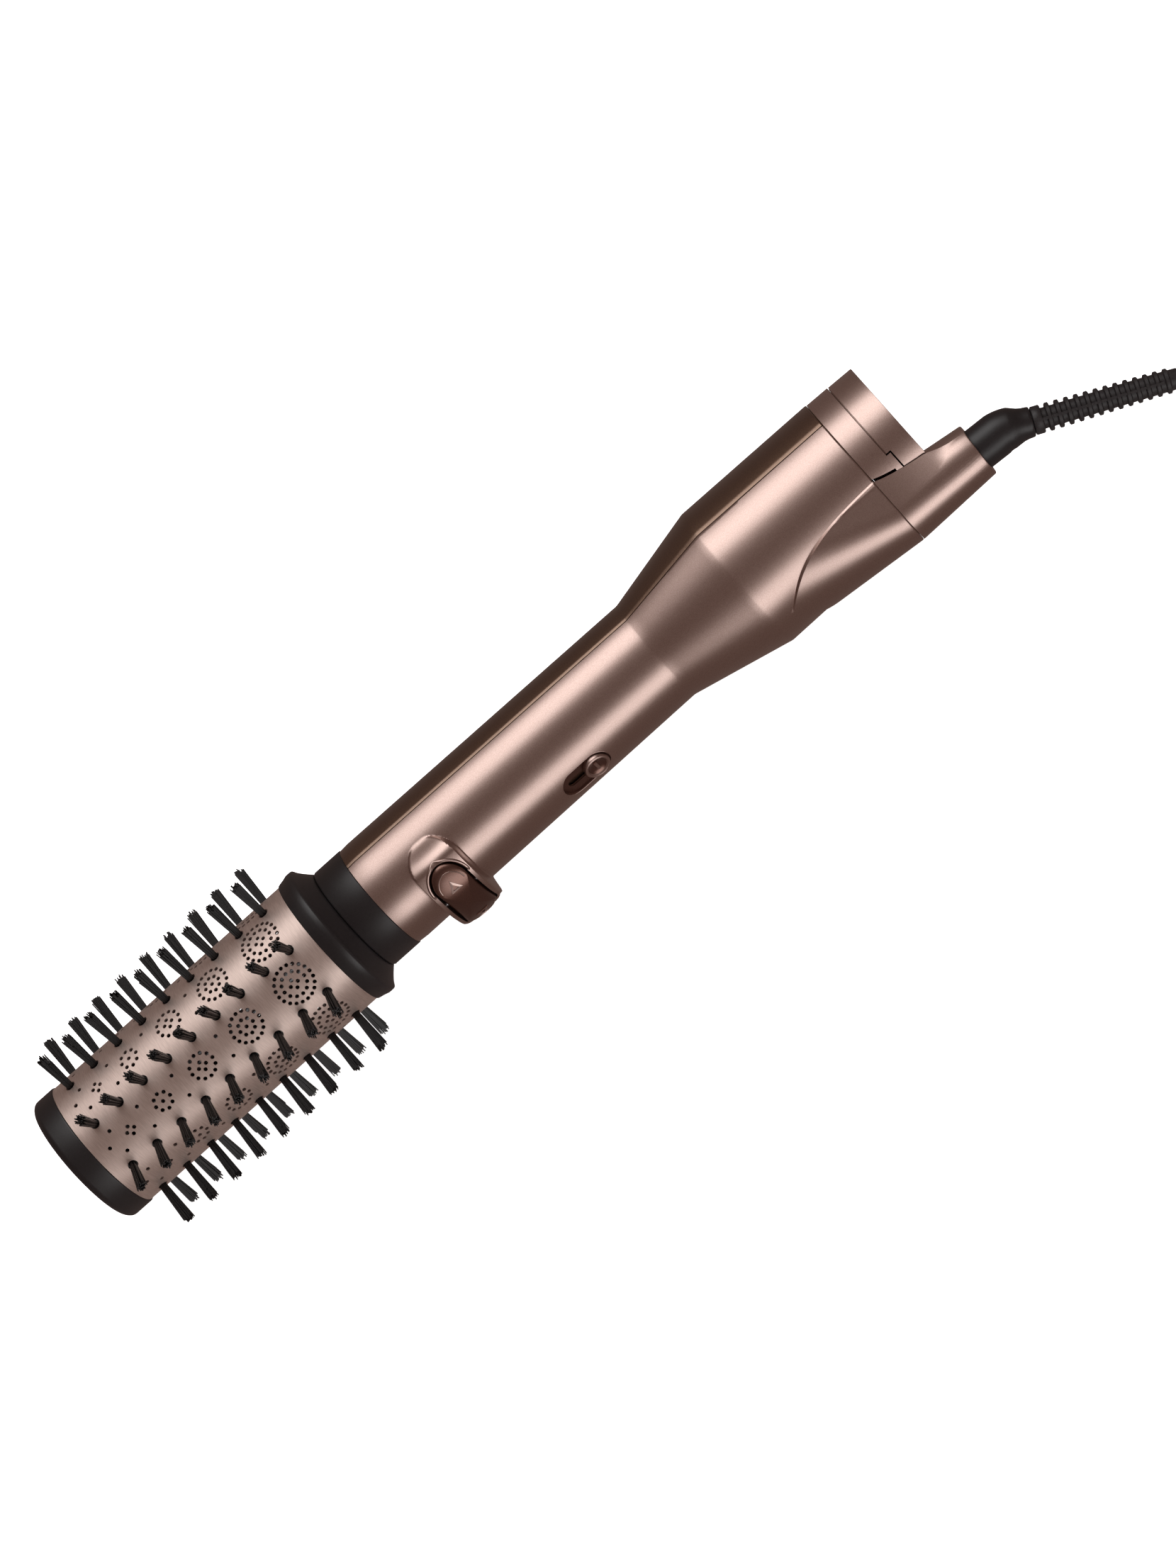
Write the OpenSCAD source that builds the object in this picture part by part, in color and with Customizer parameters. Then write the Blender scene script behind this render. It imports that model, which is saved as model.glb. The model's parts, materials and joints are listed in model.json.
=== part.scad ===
// Rotating hot air brush, lying on a table.
// Pieces are drawn in the tool's own frame: x runs rearward along the tool's axis from the
// front edge of the barrel, and the buttons face -y. place() then tips the tool about y, so
// that it rests on two rows of bristles and on the rear edge of its casing.

/* [Brush head] */
// Outer radius of the barrel
barrel_r = 22.2; // [20:0.1:27]
// Length of the barrel
barrel_len = 92.6; // [78:0.1:112]
// Wall of the barrel
barrel_wall = 0.8; // [0.6:0.1:1.2]
// Length of the front cap beyond the barrel
cap_len = 8.7; // [6:0.1:12]
// Step of the front cap over the barrel
cap_step = 0.4; // [0.2:0.1:0.8]
// Length of the flange behind the barrel
flange_len = 10; // [8:0.1:13]
// Step of the flange rim over the barrel
flange_step = 1.3; // [0.6:0.1:2]

/* [Bristles] */
// Rows of bristles round the barrel
rows = 8; // [8:8]
// Tufts in one row
tufts = 9; // [9:9]
// Place of the first tuft behind the barrel's front edge
tuft_start = 6.5; // [5:0.1:7]
// Distance between tufts
tuft_pitch = 9.8; // [8:0.1:10.2]
// Height of the tufts above the barrel
tuft_h = 14.1; // [10:0.1:17]
// Radius of a tuft at its root
tuft_root_r = 1.1; // [0.8:0.1:1.3]
// Radius of a tuft at its tip
tuft_tip_r = 1.7; // [1.2:0.1:2]
// Radius of the holes that the tufts stand in
socket_r = 1.6; // [1.5:0.05:2]
// Width of the bar that carries a row
bar_w = 5; // [4:0.1:6]
// Height of the bar that carries a row
bar_h = 2.6; // [2:0.1:3]

/* [Handle] */
// Radius of the handle at its front
handle_r = 18.3; // [16:0.1:21.9]
// Taper of the handle over its length
handle_taper = 0.65; // [0:0.05:1.5]
// Length of the fixed collar
collar_len = 10.6; // [8:0.1:13]
// Length of the round handle
handle_len = 111.2; // [100:0.1:134]
// Length of the cone between handle and rear body
neck_len = 32.7; // [27:0.1:40]
// Largest radius of the rear body
rear_r = 25.05; // [23:0.05:28]
// Length of the rear body
rear_len = 49.1; // [44:0.1:59]
// Loss of radius along the rear body
rear_taper = 0.45; // [0:0.05:1]
// Wall of the casing
wall = 2; // [1.5:0.1:2.5]
// Distance of the parting plane behind the axis
split_y = 2; // [1:0.1:5]

/* [Tail] */
// Length of the ring behind the rear body
ring_len = 8.1; // [6:0.1:10]
// Length of the filter cap
filter_len = 8.9; // [7:0.1:11]
// Distance of the tail sleeve from the axis where it starts
boss_start_y = 22.2; // [21:0.1:23]
// Distance of the tail sleeve from the axis where it ends
boss_end_y = 24.5; // [24:0.1:26]
// Radius of the tail sleeve where it starts
boss_start_r = 11; // [10:0.1:11.5]
// Radius of the tail sleeve where it ends
boss_end_r = 8.75; // [8:0.05:9.5]
// Length of the tail sleeve
sleeve_len = 29.4; // [26:0.1:34]
// Gap between the filter cap and the sleeve
cap_gap = 0.35; // [0.3:0.05:0.5]

/* [Controls] */
// Place of the rocker behind the barrel's front edge
rocker_x = 134.5; // [132:0.1:145]
// Width of the rocker pad along the tool
rocker_w = 11.3; // [10:0.1:12]
// Width of the pod round the rocker
pod_w = 16.7; // [16.5:0.1:18]
// Length of the rocker pad round the handle
rocker_len = 30; // [26:0.1:31]
// Height of the pod above the handle
pod_h = 5.7; // [4.5:0.1:6.5]
// Height of the rocker pad above the pod
pad_proud = 1.3; // [0.8:0.1:2]
// Gap round the rocker pad
pad_gap = 0.6; // [0.5:0.1:0.8]
// Place of the slide knob, in its rear place
knob_x = 189.3; // [185:0.1:198]
// Radius of the slide knob
knob_r = 4.35; // [4:0.05:4.6]
// Travel of the slide knob
knob_travel = 7.8; // [6:0.1:9]

/* [Cord] */
// Diameter of the lead
cord_d = 6; // [5.5:0.1:6.5]
// Radius of the rings on the strain relief
boot_ring_r = 4.3; // [4:0.05:4.6]
// Distance between the rings on the strain relief
boot_pitch = 3; // [2.8:0.1:3.4]
// Radius of the elbow
elbow_r = 6.7; // [6:0.1:7]
// Length of the elbow outside the sleeve
elbow_len = 9; // [7:0.1:11]

/* [Hidden] */

e = 0.01;
round_fn = 64;
// Stations along the tool
flange_x = barrel_len;
collar_x = flange_x + flange_len + 0.1;
handle_x = collar_x + collar_len;
neck_x = handle_x + handle_len;
rear_x = neck_x + neck_len;
ring_x = rear_x + rear_len;
filter_x = ring_x + ring_len + 0.3;
filter_end_x = filter_x + filter_len - 0.1;
sleeve_end_x = ring_x + sleeve_len;
// Radii along the casing
handle_end_r = handle_r - handle_taper;
rear_end_r = rear_r - rear_taper;
ring_r = rear_end_r - 0.2;
filter_r = ring_r - 0.3;
tip_r = barrel_r + tuft_h;
cap_r = barrel_r + cap_step;
flange_r = barrel_r + flange_step;
shaft_r = 2.5;
bearing_r = handle_r - 5.2;
fan_motor_r = 12.6;
// Outer radius of the tube round the heater
heater_r = 10.1;
// The tail sleeve's own axis
boss_turn = atan((boss_end_y - boss_start_y) / sleeve_len);
boss_slope = (boss_start_r - boss_end_r) / sleeve_len;
// Attitude on the table: the plane that touches two rows of tips and the casing's rear edge
tip_depth = tip_r * cos(180 / rows) + tuft_tip_r * sin(180 / rows);
last_tuft_x = tuft_start + (tufts - 1) * tuft_pitch + tuft_tip_r;
tilt = atan((tip_depth - rear_end_r) / (ring_x - last_tuft_x));
axis_h = (rear_end_r + ring_x * sin(tilt) / cos(tilt)) * cos(tilt);
front_x = -cap_len * cos(tilt) - (cap_r - 1.5) * sin(tilt);
back_x = sleeve_end_x * cos(tilt) + boss_end_r * sin(tilt) + boss_end_r * sin(boss_turn) * 0.2;
mid_x = (front_x + back_x) / 2;
// Elbow knuckle in the tool's frame and on the table
knuckle_x = sleeve_end_x + elbow_len;
knuckle_y = -(boss_end_y + elbow_len * tan(boss_turn));
knuckle = [knuckle_x * cos(tilt) - mid_x, knuckle_y, axis_h - knuckle_x * sin(tilt)];
// The lead's route on the table, from the strain relief to the coil
coil_z = 0.7;
cord_r = cord_d / 2;
coil_c = [318, -11];
coil_in_r = 24;
// Five turns lie on the table and four on top of them
coil_low_r = coil_in_r + 5 * cord_d;
coil_top_r = coil_in_r + 4 * cord_d;
tail_y = coil_c[1] - coil_top_r + cord_r;
tail_z = coil_z + 1.5 * cord_d;
cord_points = [[229, -42, 5.2], [234, -43.7, 4], [239, -45.4, 3.2], [245, -47.4, 3],
    [255, -50.6, 3], [265, -53.6, 3], [275, -56.3, 3.1], [285, -58.5, 3.3],
    [296, -60.4, 3.6], [307, -61.6, 3.7], [318, -62, 3.7]];
tail_points = [for (x = [318, 328, 339, 350]) [x, tail_y, tail_z]];
plug_x = 370;
plug_len = 34;
plug_w = 32;
plug_t = 19.4;
pin_r = 2.4;
pin_len = 19;
pin_gap = 19;
boot_run = cord_points[0] - knuckle;
boot_len = norm(boot_run);
boot_yaw = atan2(boot_run[1], boot_run[0]);
boot_pitch_angle = -asin(boot_run[2] / boot_len);
boot_start = 9.2;
// Rocker
pin_y = -(handle_r + 0.7);
// Screws in the back shell
screw_x = [handle_x + 14, neck_x - 10];
pod_r = handle_r + pod_h;
pad_r = pod_r + pad_proud;

function unit(v) = v / norm(v);
function heading(p, i) = unit(p[min(i + 1, len(p) - 1)] - p[max(i - 1, 0)]);
function across(t) = unit(cross([0, 0, 1], t));
function upward(t) = cross(t, across(t));

module place() {
    translate([-mid_x, 0, axis_h]) rotate([0, tilt, 0]) children();
}

// A body of revolution about the tool's axis from points [x, r]
module turned(points) {
    rotate([0, 90, 0]) rotate_extrude($fn = round_fn) polygon([for (p = points) [p[1], p[0]]]);
}

// A plain cylinder along the tool's axis
module rod(x0, x1, r) {
    translate([x0, 0, 0]) rotate([0, 90, 0]) cylinder(r = r, h = x1 - x0, $fn = round_fn);
}

module tube(x0, x1, r_out, r_in) {
    difference() {
        rod(x0, x1, r_out);
        rod(x0 - 1, x1 + 1, r_in);
    }
}

// A slot with round ends in the xz plane, run from y0 to y1
module slot(cx, cz, along_x, along_z, y0, y1) {
    r = min(along_x, along_z) / 2;
    dx = along_x / 2 - r;
    dz = along_z / 2 - r;
    translate([cx, y1, cz]) rotate([90, 0, 0]) linear_extrude(y1 - y0) {
        square([2 * dx + (dx > 0 ? 0 : 2 * r), 2 * dz + (dz > 0 ? 0 : 2 * r)], center = true);
        translate([dx, dz]) circle(r, $fn = round_fn);
        translate([-dx, -dz]) circle(r, $fn = round_fn);
    }
}

// The cone of the tail sleeve, grown by g
module boss_cone(g, x0, x1) {
    intersection() {
        translate([ring_x, -boss_start_y, 0]) rotate([0, 0, -boss_turn]) translate([-12, 0, 0])
            rotate([0, 90, 0]) cylinder(r1 = boss_start_r + 12 * boss_slope + g,
                r2 = boss_end_r + g, h = sleeve_len / cos(boss_turn) + 12, $fn = round_fn);
        translate([x0, -60, -30]) cube([x1 - x0, 60, 60]);
    }
}

module brush_barrel() {
    color("rosybrown") place() difference() {
        tube(0, barrel_len, barrel_r, barrel_r - barrel_wall);
        for (row = [0:rows - 1], k = [0:tufts - 1])
            rotate([180 / rows + row * 360 / rows, 0, 0])
                translate([tuft_start + k * tuft_pitch, 0, barrel_r - 2])
                    cylinder(r = socket_r, h = 4, $fn = 24);
    }
}

module bristle_strip(row) {
    color("black") place() rotate([180 / rows + row * 360 / rows, 0, 0]) {
        translate([2, -bar_w / 2, barrel_r - barrel_wall - bar_h - 0.8])
            cube([barrel_len - 4, bar_w, bar_h]);
        for (k = [0:tufts - 1]) translate([tuft_start + k * tuft_pitch, 0, 0]) {
            translate([0, 0, barrel_r - barrel_wall - 1])
                cylinder(r = tuft_root_r, h = barrel_wall + 1.2, $fn = 24);
            translate([0, 0, barrel_r])
                cylinder(r1 = tuft_root_r, r2 = tuft_tip_r, h = tuft_h, $fn = 24);
        }
    }
}

module barrel_end_cap() {
    color("dimgray") place() difference() {
        turned([[-cap_len, 0], [-cap_len, cap_r - 4], [-cap_len + 0.6, cap_r - 1.2],
            [-cap_len + 2, cap_r - 0.3], [-cap_len + 4, cap_r], [0, cap_r],
            [0, barrel_r - barrel_wall], [1.8, barrel_r - barrel_wall], [1.8, 0]]);
        rod(-cap_len + 2, 3, barrel_r - 7);
    }
}

module drive_hub() {
    color("gray") place() difference() {
        union() {
            tube(-cap_len + 2.2, 1.6, barrel_r - 7.05, barrel_r - 9);
            tube(-cap_len + 2.2, 8, 5, shaft_r);
            for (a = [0, 90]) rotate([a, 0, 0])
                translate([-cap_len + 2.2, -1, -barrel_r + 7.6]) cube([6, 2, 2 * barrel_r - 15.2]);
        }
        rod(-cap_len, 9, shaft_r);
    }
}

module drive_shaft() {
    color("silver") place() rod(-cap_len + 2.4, handle_x + 78, shaft_r);
}

module barrel_flange() {
    color("dimgray") place() turned([[flange_x, barrel_r - barrel_wall - 0.01],
        [flange_x, cap_r], [flange_x + 1.4, flange_r - 0.4], [flange_x + 3, flange_r],
        [flange_x + 5.2, flange_r], [flange_x + 6.6, flange_r - 2],
        [flange_x + 8.4, handle_r + 1.4], [flange_x + flange_len, handle_r - 0.2],
        [flange_x + flange_len, handle_r - 4.1], [flange_x - 2, handle_r - 4.1],
        [flange_x - 2, barrel_r - barrel_wall - 0.01]]);
}

module fixed_collar() {
    color("dimgray") place() {
        turned([[collar_x, handle_r - 0.6], [collar_x + 0.6, handle_r], [handle_x, handle_r],
            [handle_x, handle_r - wall - 0.05], [handle_x + 6, handle_r - wall - 0.05],
            [handle_x + 6, handle_r - wall - 1.4], [collar_x + 2, handle_r - wall - 1.4],
            [collar_x + 2, bearing_r - 1.2], [flange_x - 2.2, bearing_r - 1.2],
            [flange_x - 2.2, bearing_r], [collar_x, bearing_r]]);
    }
}

module collar_bush() {
    color("ivory") place() tube(flange_x - 2, flange_x + 3, handle_r - 4.1, bearing_r + 0.06);
}

module casing() {
    turned([[handle_x, handle_r - wall], [handle_x, handle_r], [neck_x, handle_end_r],
        [rear_x, rear_r], [ring_x, rear_end_r], [ring_x, rear_end_r - wall],
        [rear_x, rear_r - wall], [neck_x, handle_end_r - wall]]);
}

module fairing() {
    hull() {
        rod(rear_x, rear_x + e, rear_r - 1);
        rod(ring_x - e, ring_x, ring_r - 1.1);
        translate([0, -boss_start_y, 0]) rod(ring_x - e, ring_x, boss_start_r);
    }
}

module cavity() {
    turned([[handle_x - 1, 0], [handle_x - 1, handle_r - wall], [neck_x, handle_end_r - wall],
        [rear_x, rear_r - wall], [ring_x + 1, rear_end_r - wall], [ring_x + 1, 0]]);
}

module handle_button_shell() {
    color("rosybrown") place() difference() {
        union() {
            casing();
            difference() {
                fairing();
                cavity();
            }
            intersection() {
                slot(rocker_x, 0, pod_w, rocker_len + 8, -pod_r - 1, -10);
                tube(rocker_x - pod_w, rocker_x + pod_w, pod_r, handle_r - 1);
            }
        }
        translate([0, split_y, -60]) cube([500, 60, 120]);
        slot(rocker_x, 0, rocker_w + 2 * pad_gap, rocker_len + 2 * pad_gap, -pod_r - 5, -8);
        translate([0, pin_y, 0]) rod(rocker_x - pod_w / 2 + 0.6, rocker_x + pod_w / 2 - 0.6, 1.02);
        slot(knob_x - knob_travel / 2, 0, knob_travel + 2 * knob_r + 1, 2 * knob_r + 1,
            -handle_r - 2, -handle_end_r + 1.2);
        slot(knob_x - knob_travel / 2, 0, knob_travel + 5, 3, -handle_r - 2, -8);
        translate([ring_x, -boss_start_y, 0]) rotate([0, 0, -boss_turn]) translate([-24, 0, 0])
            rotate([0, 90, 0]) cylinder(r = 6, h = 40, $fn = round_fn);
    }
}

module handle_back_shell() {
    color("rosybrown") place() difference() {
        intersection() {
            casing();
            translate([0, split_y, -60]) cube([500, 60, 120]);
        }
        for (x = screw_x) translate([x, 8, 0]) rotate([-90, 0, 0])
            cylinder(r = 2.6, h = 20, $fn = round_fn);
    }
}

module casing_screws() {
    color("silver") place() for (x = screw_x) translate([x, 0, 0]) {
        difference() {
            translate([0, handle_end_r - 2.4, 0]) rotate([-90, 0, 0])
                cylinder(r = 2.5, h = 1.4, $fn = round_fn);
            translate([-1.6, handle_end_r - 1.6, -0.4]) cube([3.2, 1, 0.8]);
            translate([-0.4, handle_end_r - 1.6, -1.6]) cube([0.8, 1, 3.2]);
        }
    }
}

module heat_sleeve() {
    color("khaki") place() tube(handle_x + 6.5, handle_x + 56, heater_r, heater_r - 0.4);
}

module heater_frame() {
    color("wheat") place() difference() {
        for (a = [0, 90]) rotate([a, 0, 0])
            translate([handle_x + 8, -0.4, -heater_r + 2.6]) cube([46, 0.8, 2 * heater_r - 5.2]);
        rod(handle_x, handle_x + 60, shaft_r + 0.8);
    }
}

module heater_coil() {
    color("silver") place() for (k = [0:8])
        difference() {
            tube(handle_x + 12 + 4.6 * k, handle_x + 12.7 + 4.6 * k,
                heater_r - 1.5, heater_r - 2.2);
            for (a = [0, 90, 180, 270]) rotate([a, 0, 0])
                translate([handle_x, -0.5, heater_r - 2.65]) cube([60, 1, 0.2]);
        }
}

module thermostat() {
    color("silver") place() translate([handle_x + 57, 6, 6]) rotate([0, 90, 0]) {
        cylinder(r = 4, h = 1.4, $fn = round_fn);
        translate([0, 0, 1.4]) cylinder(r = 3, h = 4, $fn = round_fn);
    }
}

module thermal_fuse() {
    color("gold") place() translate([handle_x + 57, -6, 7]) rotate([0, 90, 0])
        cylinder(r = 1.6, h = 9, $fn = round_fn);
}

module shaft_coupler() {
    color("gray") place() tube(handle_x + 62, handle_x + 72, 4.5, shaft_r);
}

module gearbox() {
    color("silver") place() tube(handle_x + 73, handle_x + 90, 9, shaft_r + 0.06);
}

module gear_motor() {
    color("silver") place() {
        rod(handle_x + 90, handle_x + 109, 8);
        rod(handle_x + 109, handle_x + 111, 3);
    }
}

module motor_cradle() {
    color("whitesmoke") place() {
        tube(handle_x + 76, handle_x + 80, 11, 9.02);
        tube(handle_x + 94, handle_x + 98, 11, 8.02);
        for (a = [45:90:315]) rotate([a, 0, 0])
            translate([handle_x + 76, -0.8, 10.6]) cube([22, 1.6, handle_end_r - wall - 11.3]);
    }
}

module circuit_board() {
    color("darkgreen") place() {
        translate([rocker_x - 12, -11.6, -9]) cube([66, 1.2, 18]);
        translate([rocker_x + 14, -13.6, -6]) cube([6, 2 + e, 4]);
    }
}

module power_switch() {
    color("dimgray") place() translate([knob_x - knob_travel / 2 - 9, -13.4, -3.4])
        cube([18, 1.8, 6.8]);
}

module slide_knob() {
    floor_y = -handle_end_r + 1.2;
    color("rosybrown") place() difference() {
        union() {
            translate([knob_x, floor_y - 0.15, 0]) rotate([90, 0, 0])
                cylinder(r = knob_r, h = 2.1, $fn = round_fn);
            translate([knob_x - 1.6, -13.6 - 3.2, -1.2]) cube([3.2, 3.1, 2.4]);
        }
        translate([knob_x, floor_y - 1.35, 0]) rotate([90, 0, 0])
            cylinder(r1 = knob_r - 1.6, r2 = knob_r - 0.7, h = 0.91, $fn = round_fn);
    }
}

module rotation_rocker() {
    color("rosybrown") place() difference() {
        intersection() {
            slot(rocker_x, 0, rocker_w, rocker_len, -pad_r - 1, -handle_r + 2);
            rod(rocker_x - 10, rocker_x + 10, pad_r);
        }
        translate([0, pin_y, 0]) rod(rocker_x - 10, rocker_x + 10, 1.05);
    }
}

module rocker_pin() {
    color("silver") place() translate([0, pin_y, 0])
        rod(rocker_x - pod_w / 2 + 0.7, rocker_x + pod_w / 2 - 0.7, 1);
}

module rocker_switches() {
    color("black") place() for (side = [-1, 1]) translate([rocker_x, -13.6, side * 7]) {
        translate([-3, 0, -2]) cube([6, 2, 4]);
        rotate([90, 0, 0]) cylinder(r = 1.2, h = 0.9, $fn = round_fn);
    }
}

module fan_duct() {
    color("whitesmoke") place() difference() {
        union() {
            tube(rear_x + 2, rear_x + 32, rear_end_r - wall - 0.6, rear_end_r - wall - 2);
            for (a = [30:60:330]) rotate([a, 0, 0])
                translate([rear_x + 4, -0.7, 13]) cube([14, 1.4, rear_end_r - wall - 14.2]);
            rod(rear_x + 4, rear_x + 18, 14);
        }
        rod(rear_x, rear_x + 20, fan_motor_r + 0.03);
    }
}

module fan_motor() {
    color("silver") place() tube(rear_x, rear_x + 19, fan_motor_r, 1.66);
}

module fan_shaft() {
    color("silver") place() rod(rear_x + 1, rear_x + 31, 1.6);
}

module fan_impeller() {
    color("white") place() difference() {
        union() {
            rod(rear_x + 21, rear_x + 29, 6);
            for (a = [0:40:320]) rotate([a, 0, 0])
                translate([rear_x + 25, 0, 12]) rotate([0, 0, 38]) cube([10, 1, 14], center = true);
        }
        rod(rear_x + 20, rear_x + 31, 1.6);
    }
}

module rear_ring() {
    color("rosybrown") place() difference() {
        turned([[ring_x, ring_r], [ring_x + ring_len, ring_r - 0.2], [ring_x + ring_len, ring_r - 4],
            [ring_x, ring_r - 4]]);
        boss_cone(0.02, ring_x - 1, ring_x + ring_len + 1);
    }
}

module filter_cap() {
    color("rosybrown") place() difference() {
        union() {
            turned([[filter_x, filter_r], [filter_end_x - 0.5, filter_r - 0.3],
                [filter_end_x, filter_r - 0.8], [filter_end_x, 0], [filter_end_x - 1.6, 0],
                [filter_end_x - 1.6, filter_r - 2], [filter_x, filter_r - 2]]);
            tube(filter_x - 3.6, filter_x + 2, ring_r - 4.3, ring_r - 5.5);
            tube(filter_x + 0.4, filter_x + 2, filter_r - 1.5, ring_r - 5);
        }
        boss_cone(cap_gap, filter_x - 6, filter_end_x + 6);
        for (r = [5:3.2:18]) difference() {
            tube(filter_end_x - 4, filter_end_x + 1, r + 0.9, r - 0.9);
            for (a = [0:60:300]) rotate([a + 15, 0, 0])
                translate([filter_end_x - 5, -1, 0]) cube([8, 2, 30]);
            translate([filter_end_x - 5, -40, -14]) cube([8, 31, 28]);
        }
    }
}

module filter_mesh() {
    color("gray") place() difference() {
        rod(filter_x + 2.2, filter_x + 2.8, filter_r - 2.2);
        boss_cone(1.2, filter_x - 6, filter_end_x + 6);
    }
}

module tail_sleeve() {
    color("rosybrown") place() difference() {
        union() {
            boss_cone(0, ring_x, sleeve_end_x + 10);
            difference() {
                hull() {
                    rod(ring_x, ring_x + e, ring_r - 1.2);
                    translate([0, -boss_start_y, 0]) rod(ring_x, ring_x + e, boss_start_r);
                    rod(filter_end_x - e, filter_end_x, ring_r - 4.8);
                    translate([0, -boss_start_y - 1.3, 0])
                        rod(filter_end_x - e, filter_end_x, boss_start_r - 1.3);
                }
                rod(ring_x - 1, filter_end_x + 1, ring_r + 0.05);
            }
        }
        translate([ring_x, -boss_start_y, 0]) rotate([0, 0, -boss_turn]) {
            rotate([0, 90, 0]) translate([0, 0, -5]) cylinder(r = 5, h = 60, $fn = round_fn);
            translate([sleeve_len - 7, 0, 0]) rotate([0, 90, 0])
                cylinder(r = elbow_r, h = 20, $fn = round_fn);
        }
    }
}

module cord_clamp() {
    color("dimgray") place() translate([ring_x, -boss_start_y, 0]) rotate([0, 0, -boss_turn])
        translate([8, 0, 0]) rotate([0, 90, 0]) difference() {
            cylinder(r = 4.9, h = 5, $fn = round_fn);
            translate([0, 0, -1]) cylinder(r = 2, h = 7, $fn = round_fn);
        }
}

module boot_frame() {
    translate(knuckle) rotate([0, boot_pitch_angle, boot_yaw]) children();
}

module cord_elbow() {
    color("dimgray") {
        place() translate([ring_x, -boss_start_y, 0]) rotate([0, 0, -boss_turn])
            translate([sleeve_len - 6.9, 0, 0]) rotate([0, 90, 0])
                cylinder(r = elbow_r - 0.02, h = elbow_len / cos(boss_turn) + 6.7, $fn = round_fn);
        // The knuckle and its neck, with the bore that the strain relief turns in
        boot_frame() rotate([0, 90, 0]) rotate_extrude($fn = round_fn)
            polygon([[0, -elbow_r - 0.3], [elbow_r * 0.62, -elbow_r * 0.84], [elbow_r * 0.94, -elbow_r * 0.46],
                [elbow_r + 0.25, 0], [elbow_r * 0.97, elbow_r * 0.42], [boot_ring_r + 0.7, boot_start - 2.2],
                [boot_ring_r + 0.2, boot_start - 0.2], [2.56, boot_start - 0.2], [2.56, 2.6], [0, 2.6]]);
    }
}

module cord_boot() {
    rings = floor((boot_len - boot_start - 3) / boot_pitch);
    color("dimgray") boot_frame() rotate([0, 90, 0]) {
        translate([0, 0, 3]) cylinder(r = 2.5, h = 8, $fn = round_fn);
        translate([0, 0, boot_start]) cylinder(r = boot_ring_r, h = 3, $fn = round_fn);
        translate([0, 0, boot_start]) cylinder(r = 3.4, h = boot_len - boot_start - 0.4, $fn = round_fn);
        for (k = [1:rings - 1]) translate([0, 0, boot_start + 1.5 + k * boot_pitch])
            cylinder(r = boot_ring_r - 0.03 * k, h = 1.5, $fn = round_fn);
    }
}

// One closed tube of the cord's radius along a list of points
module swept(points) {
    sides = 10;
    rings = len(points);
    shell_points = [for (i = [0:rings - 1], s = [0:sides - 1])
        let (t = heading(points, i), a = 360 * s / sides)
            points[i] + cord_r * (cos(a) * across(t) + sin(a) * upward(t))];
    sides_faces = [for (i = [0:rings - 2], s = [0:sides - 1])
        [i * sides + s, (i + 1) * sides + s, (i + 1) * sides + (s + 1) % sides,
            i * sides + (s + 1) % sides]];
    polyhedron(shell_points, concat(sides_faces, [[for (s = [0:sides - 1]) s]],
        [[for (s = [sides - 1:-1:0]) (rings - 1) * sides + s]]));
}

module cord_tube() {
    color("black") swept(cord_points);
}

module cord_tail() {
    color("black") swept(tail_points);
}

module cord_coil() {
    color("black") translate([coil_c[0], coil_c[1], coil_z]) rotate_extrude($fn = round_fn)
        polygon([[coil_in_r, 0], [coil_low_r, 0], [coil_low_r, cord_d], [coil_top_r, cord_d],
            [coil_top_r, 2 * cord_d], [coil_in_r, 2 * cord_d]]);
}

// The strap round the coil; g is its distance from the coil
module strap_section(g) {
    top = coil_z + 2 * cord_d + g;
    polygon([[coil_in_r - 0.35 - g, coil_z - g], [coil_low_r + g, coil_z - g],
        [coil_low_r + g, coil_z + cord_d + 0.5 * g], [coil_top_r + 0.5 * g, top],
        [coil_in_r - 0.35 - g, top]]);
}

module cord_tie() {
    color("black") translate([coil_c[0] - 3, coil_c[1], 0]) rotate([90, 0, 90]) linear_extrude(6)
        difference() {
            strap_section(0.7);
            strap_section(0.1);
        }
}

module plug_relief() {
    color("black") translate([plug_x - 20, tail_y, tail_z]) rotate([0, 90, 0])
        cylinder(r1 = cord_r + 0.3, r2 = 5, h = 20, $fn = round_fn);
}

module plug_body() {
    color("black") translate([plug_x, tail_y, tail_z]) rotate([0, 90, 0])
        rotate([0, 0, 90]) linear_extrude(plug_len) {
            square([plug_w - plug_t, plug_t], center = true);
            for (side = [-1, 1]) translate([side * (plug_w - plug_t) / 2, 0])
                circle(plug_t / 2, $fn = round_fn);
        }
}

module plug_pins() {
    color("silver") for (side = [-1, 1])
        translate([plug_x + plug_len, tail_y + side * pin_gap / 2, tail_z])
            rotate([0, 90, 0]) cylinder(r = pin_r, h = pin_len, $fn = round_fn);
}

brush_barrel();
bristle_strip(0);  // bristle_strip_1
bristle_strip(1);  // bristle_strip_2
bristle_strip(2);  // bristle_strip_3
bristle_strip(3);  // bristle_strip_4
bristle_strip(4);  // bristle_strip_5
bristle_strip(5);  // bristle_strip_6
bristle_strip(6);  // bristle_strip_7
bristle_strip(7);  // bristle_strip_8
barrel_end_cap();
barrel_flange();
drive_hub();
drive_shaft();
fixed_collar();
collar_bush();
handle_button_shell();
handle_back_shell();
heat_sleeve();
heater_frame();
heater_coil();
thermostat();
thermal_fuse();
shaft_coupler();
gearbox();
gear_motor();
motor_cradle();
circuit_board();
power_switch();
slide_knob();
rotation_rocker();
rocker_pin();
rocker_switches();
fan_duct();
fan_impeller();
fan_shaft();
fan_motor();
rear_ring();
filter_cap();
filter_mesh();
tail_sleeve();
cord_clamp();
cord_elbow();
cord_boot();
cord_tube();
cord_coil();
cord_tail();
cord_tie();
plug_relief();
plug_body();
plug_pins();
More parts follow.
